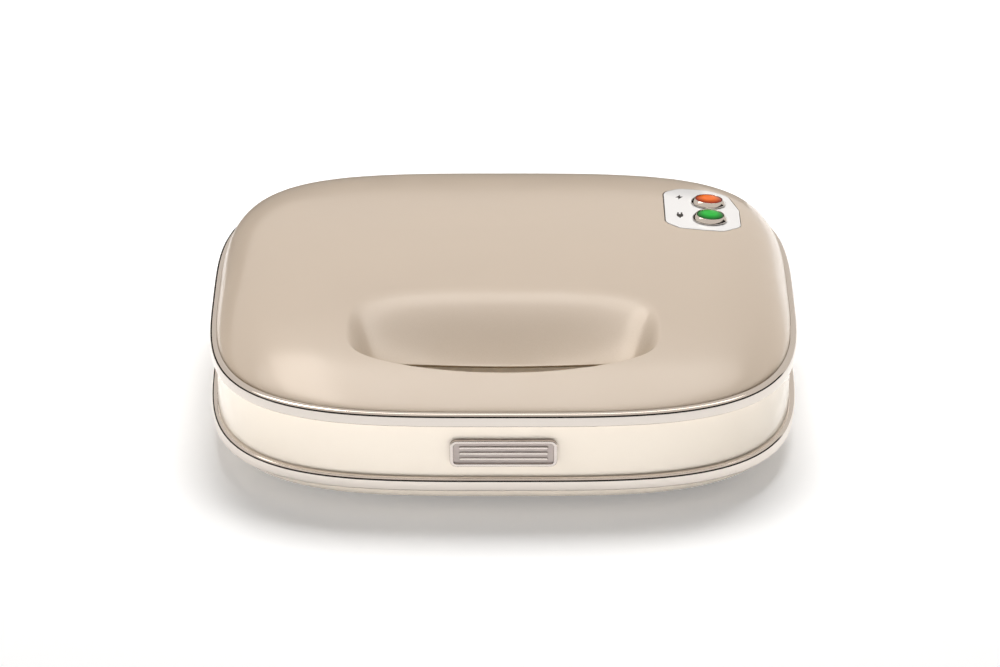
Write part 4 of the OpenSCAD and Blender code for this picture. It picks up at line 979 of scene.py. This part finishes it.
panel_middle = np.array([wall_a - 0.0371, wall_b - 0.0698])
panel_rows = [on_dome(panel_middle + (panel_outline(0) - panel_middle) * q, -skin - 0.0012) for q in (0.3, 0.65, 1)]
panel_rows += [on_dome(panel_outline(g), panel_rise - 0.0005 + h)
               for g, h in arc(-0.0005, 0, 0.0005, 0.0005, 0, 90, 6)]
panel_rows += [on_dome(panel_middle + (panel_outline(-0.0005) - panel_middle) * q, panel_rise)
               for q in (0.96, 0.85, 0.7, 0.55, 0.4, 0.25, 0.12)]
panel_mesh = loft_mesh("panel_face", np.stack(panel_rows) + [0, mid_y, 0])
lamp_x = wall_a - 0.034
lamp_places = {"power": wall_b - 0.064, "ready": wall_b - 0.0835}
bezel_r = 0.00785
neck_r = bezel_r - 0.002
lens_r = bezel_r - 0.0018


def lamp_seat(y):
    """Point on the panel under a lamp, and the direction square to the panel there."""
    return Vector((lamp_x, y + mid_y, float(dome_height(lamp_x, y)) + panel_rise)), dome_normal(lamp_x, y)


lamp_holes = []
for y in lamp_places.values():
    point, normal = lamp_seat(y)
    lamp_holes.append(rod("lamp_hole", neck_r + seat, point - normal * 0.01, point + normal * 0.01, 96))
add_piece(carve(panel_mesh, *lamp_holes), "lid", "white_panel", white_finish, "lamp_panel", crease=50)
panel_cut = loft_mesh("panel_cut", level_rows([panel_outline(0.00028) + [-0.00012, mid_y]] * 2, [0.03, 0.09]))
add_piece(carve(cover, panel_cut), "lid", "tan_lid", tan_finish, "lid_cover")

ink_finish, tree, shader = new_finish("printed_ink", IOR=1.5)
# Pad-printed epoxy ink: warm black, with soft pinholes at the pad's texture of about 0.2 mm.
coords = add_node(tree, "ShaderNodeTexCoord")
pins = add_node(tree, "ShaderNodeTexNoise", {"Vector": coords.outputs["Object"], "Scale": 4000.0, "Detail": 2.0})
pin_mix = add_node(tree, "ShaderNodeMix", {0: pins.outputs[0], 6: linear("#1c1817"), 7: linear("#2b2523")},
                   data_type="RGBA")
pin_rough = add_node(tree, "ShaderNodeMapRange", {0: pins.outputs[0], 3: 0.4, 4: 0.6})
tree.links.new(pin_mix.outputs[2], shader.inputs["Base Color"])
tree.links.new(pin_rough.outputs[0], shader.inputs["Roughness"])


def printed_mark(name, outline, x, y, width, depth):
    """Flat mark of ink on the panel: an outline in units of half its width and depth, placed on the dome."""
    flat = np.asarray(outline) * [width / 2, depth / 2] + [x, y]
    rows = np.stack([on_dome(flat, panel_rise + h) for h in (-0.00003, 0.00003)])
    add_piece(loft_mesh(name, rows + [0, mid_y, 0]), "lid", "white_panel", ink_finish, crease=20)


bolt = [[0.3, 1.0], [-1.0, -0.25], [-0.2, -0.25], [-0.3, -1.0], [1.0, 0.25], [0.2, 0.25]]
plug = np.vstack([[[-1.0, 0.4]], arc(0, -0.1, 1.0, 0.6, 180, 260, 5), [[-0.2, -1.0], [0.2, -1.0]],
                  arc(0, -0.1, 1.0, 0.6, 280, 360, 5), [[1.0, 0.4], [0.8, 0.4], [0.8, 1.0], [0.3, 1.0], [0.3, 0.4],
                                                        [-0.3, 0.4], [-0.3, 1.0], [-0.8, 1.0], [-0.8, 0.4]]])
printed_mark("power_mark", bolt, 0.0801, 0.0594, 0.0036, 0.0064)
printed_mark("ready_mark", plug, 0.0797, 0.0361, 0.0029, 0.0066)


# Lamps
# Each lamp has a turned and chromed bezel, a pressed lens of tinted polycarbonate, orange for
# power and green for ready, and a neon lamp behind it in a cream holder.
def tinted_lens(name, heart, edge, centre):
    """Tinted polycarbonate with fine pressed rings, coloured bright in the middle and deep at the edge: painted light
    in the middle and painted shade at the edge.
    """
    finish, tree, shader = new_finish(name, IOR=1.58, Roughness=0.12, Specular_IOR_Level=0.12, Coat_Weight=0.1, Coat_Roughness=0.03)
    coords = add_node(tree, "ShaderNodeTexCoord")
    away = add_node(tree, "ShaderNodeVectorMath", {0: coords.outputs["Object"], 1: centre}, operation="DISTANCE")
    share = add_node(tree, "ShaderNodeMath", {0: away.outputs["Value"], 1: lens_r}, operation="DIVIDE")
    # Painted light and shade: the colour runs from the bright heart at the middle to the deep tint at the edge.
    ramp = add_node(tree, "ShaderNodeValToRGB", {0: share.outputs[0]})
    ramp.color_ramp.elements[0].color = linear(heart)
    ramp.color_ramp.elements[0].position = 0.45
    ramp.color_ramp.elements[1].color = linear(edge)
    ramp.color_ramp.elements[1].position = 0.98
    rings = add_node(tree, "ShaderNodeMath", {0: away.outputs["Value"], 1: 9000.0}, operation="MULTIPLY")
    ring_wave = add_node(tree, "ShaderNodeMath", {0: rings.outputs[0]}, operation="SINE")
    ring_bump = add_node(tree, "ShaderNodeBump", {"Height": ring_wave.outputs[0], "Strength": 0.15, "Distance": 0.00008})
    tree.links.new(ramp.outputs[0], shader.inputs["Base Color"])
    tree.links.new(ring_bump.outputs[0], shader.inputs["Normal"])
    return finish


bezel_profile = np.vstack([
    [[neck_r - 0.0008, -0.005], [neck_r, -0.005], [neck_r, seat], [bezel_r - 0.0002, seat]],
    arc(bezel_r - 0.0003, 0.0005, 0.0003, 0.0004, -60, 40, 5),
    arc(lens_r + seat + 0.0002, 0.0021, 0.0002, 0.0002, 48, 180, 7),
    [[lens_r + seat, 0.0011], [neck_r - 0.0008, 0.0011]]])
lens_profile = np.vstack([
    [[0, -0.004], [neck_r - 0.0009, -0.004], [neck_r - 0.0009, 0.0012], [lens_r, 0.0012], [lens_r, 0.0019]],
    arc(0, 0.0019, lens_r, 0.0012, 8, 90, 14)])
for name, heart, edge in (("power", "#ff7410", "#8e1c06"), ("ready", "#06bc34", "#04551c")):
    point, normal = lamp_seat(lamp_places[name])
    rows = np.concatenate([bezel_profile[:, 0, None, None] * np.stack(
        [np.cos(np.linspace(0, 2 * np.pi, 128, endpoint=False)), np.sin(np.linspace(0, 2 * np.pi, 128, endpoint=False))],
        axis=-1)[None], np.broadcast_to(bezel_profile[:, 1, None, None], (len(bezel_profile), 128, 1))], axis=-1)
    tilt = np.array(Vector((0, 0, 1)).rotation_difference(normal).to_matrix())
    add_piece(loft_mesh(name + "_bezel_ring", rows @ tilt.T + np.array(point), closed=True), "lid", "chrome_trim",
              chrome_finish, name + "_bezel")
    painted_glow_finish = tinted_lens(name + "_lens_polycarbonate", heart, edge, point + normal * 0.0031)
    lens_slot = {"power": "orange_lens", "ready": "green_lens"}[name]
    add_piece(round_mesh(name + "_lens_cap", lens_profile, point, normal, 96), "lid", lens_slot, painted_glow_finish, name + "_lens")

# Soda glass with a thin internal bloom.
glass_finish, tree, shader = new_finish("neon_lamp_glass", IOR=1.52, Transmission_Weight=0.9, Base_Color=linear("#f3efe6"))
coords = add_node(tree, "ShaderNodeTexCoord")
film = add_node(tree, "ShaderNodeTexNoise", {"Vector": coords.outputs["Object"], "Scale": 400.0})
film_rough = add_node(tree, "ShaderNodeMapRange", {0: film.outputs[0], 3: 0.02, 4: 0.12})
tree.links.new(film_rough.outputs[0], shader.inputs["Roughness"])
dress(glass_finish, "power_lamp", "ready_lamp")
dress(frame_finish, "lamp_carrier")


# Lid frame
# The matt inner frame under the cover. It carries the upper plate and has a collar round the
# finger opening, whose pale edge shows inside the scoop.
add_piece(eased_copy("lid_frame", 0.0003), "lid", "cream_frame", frame_finish, "lid_frame")
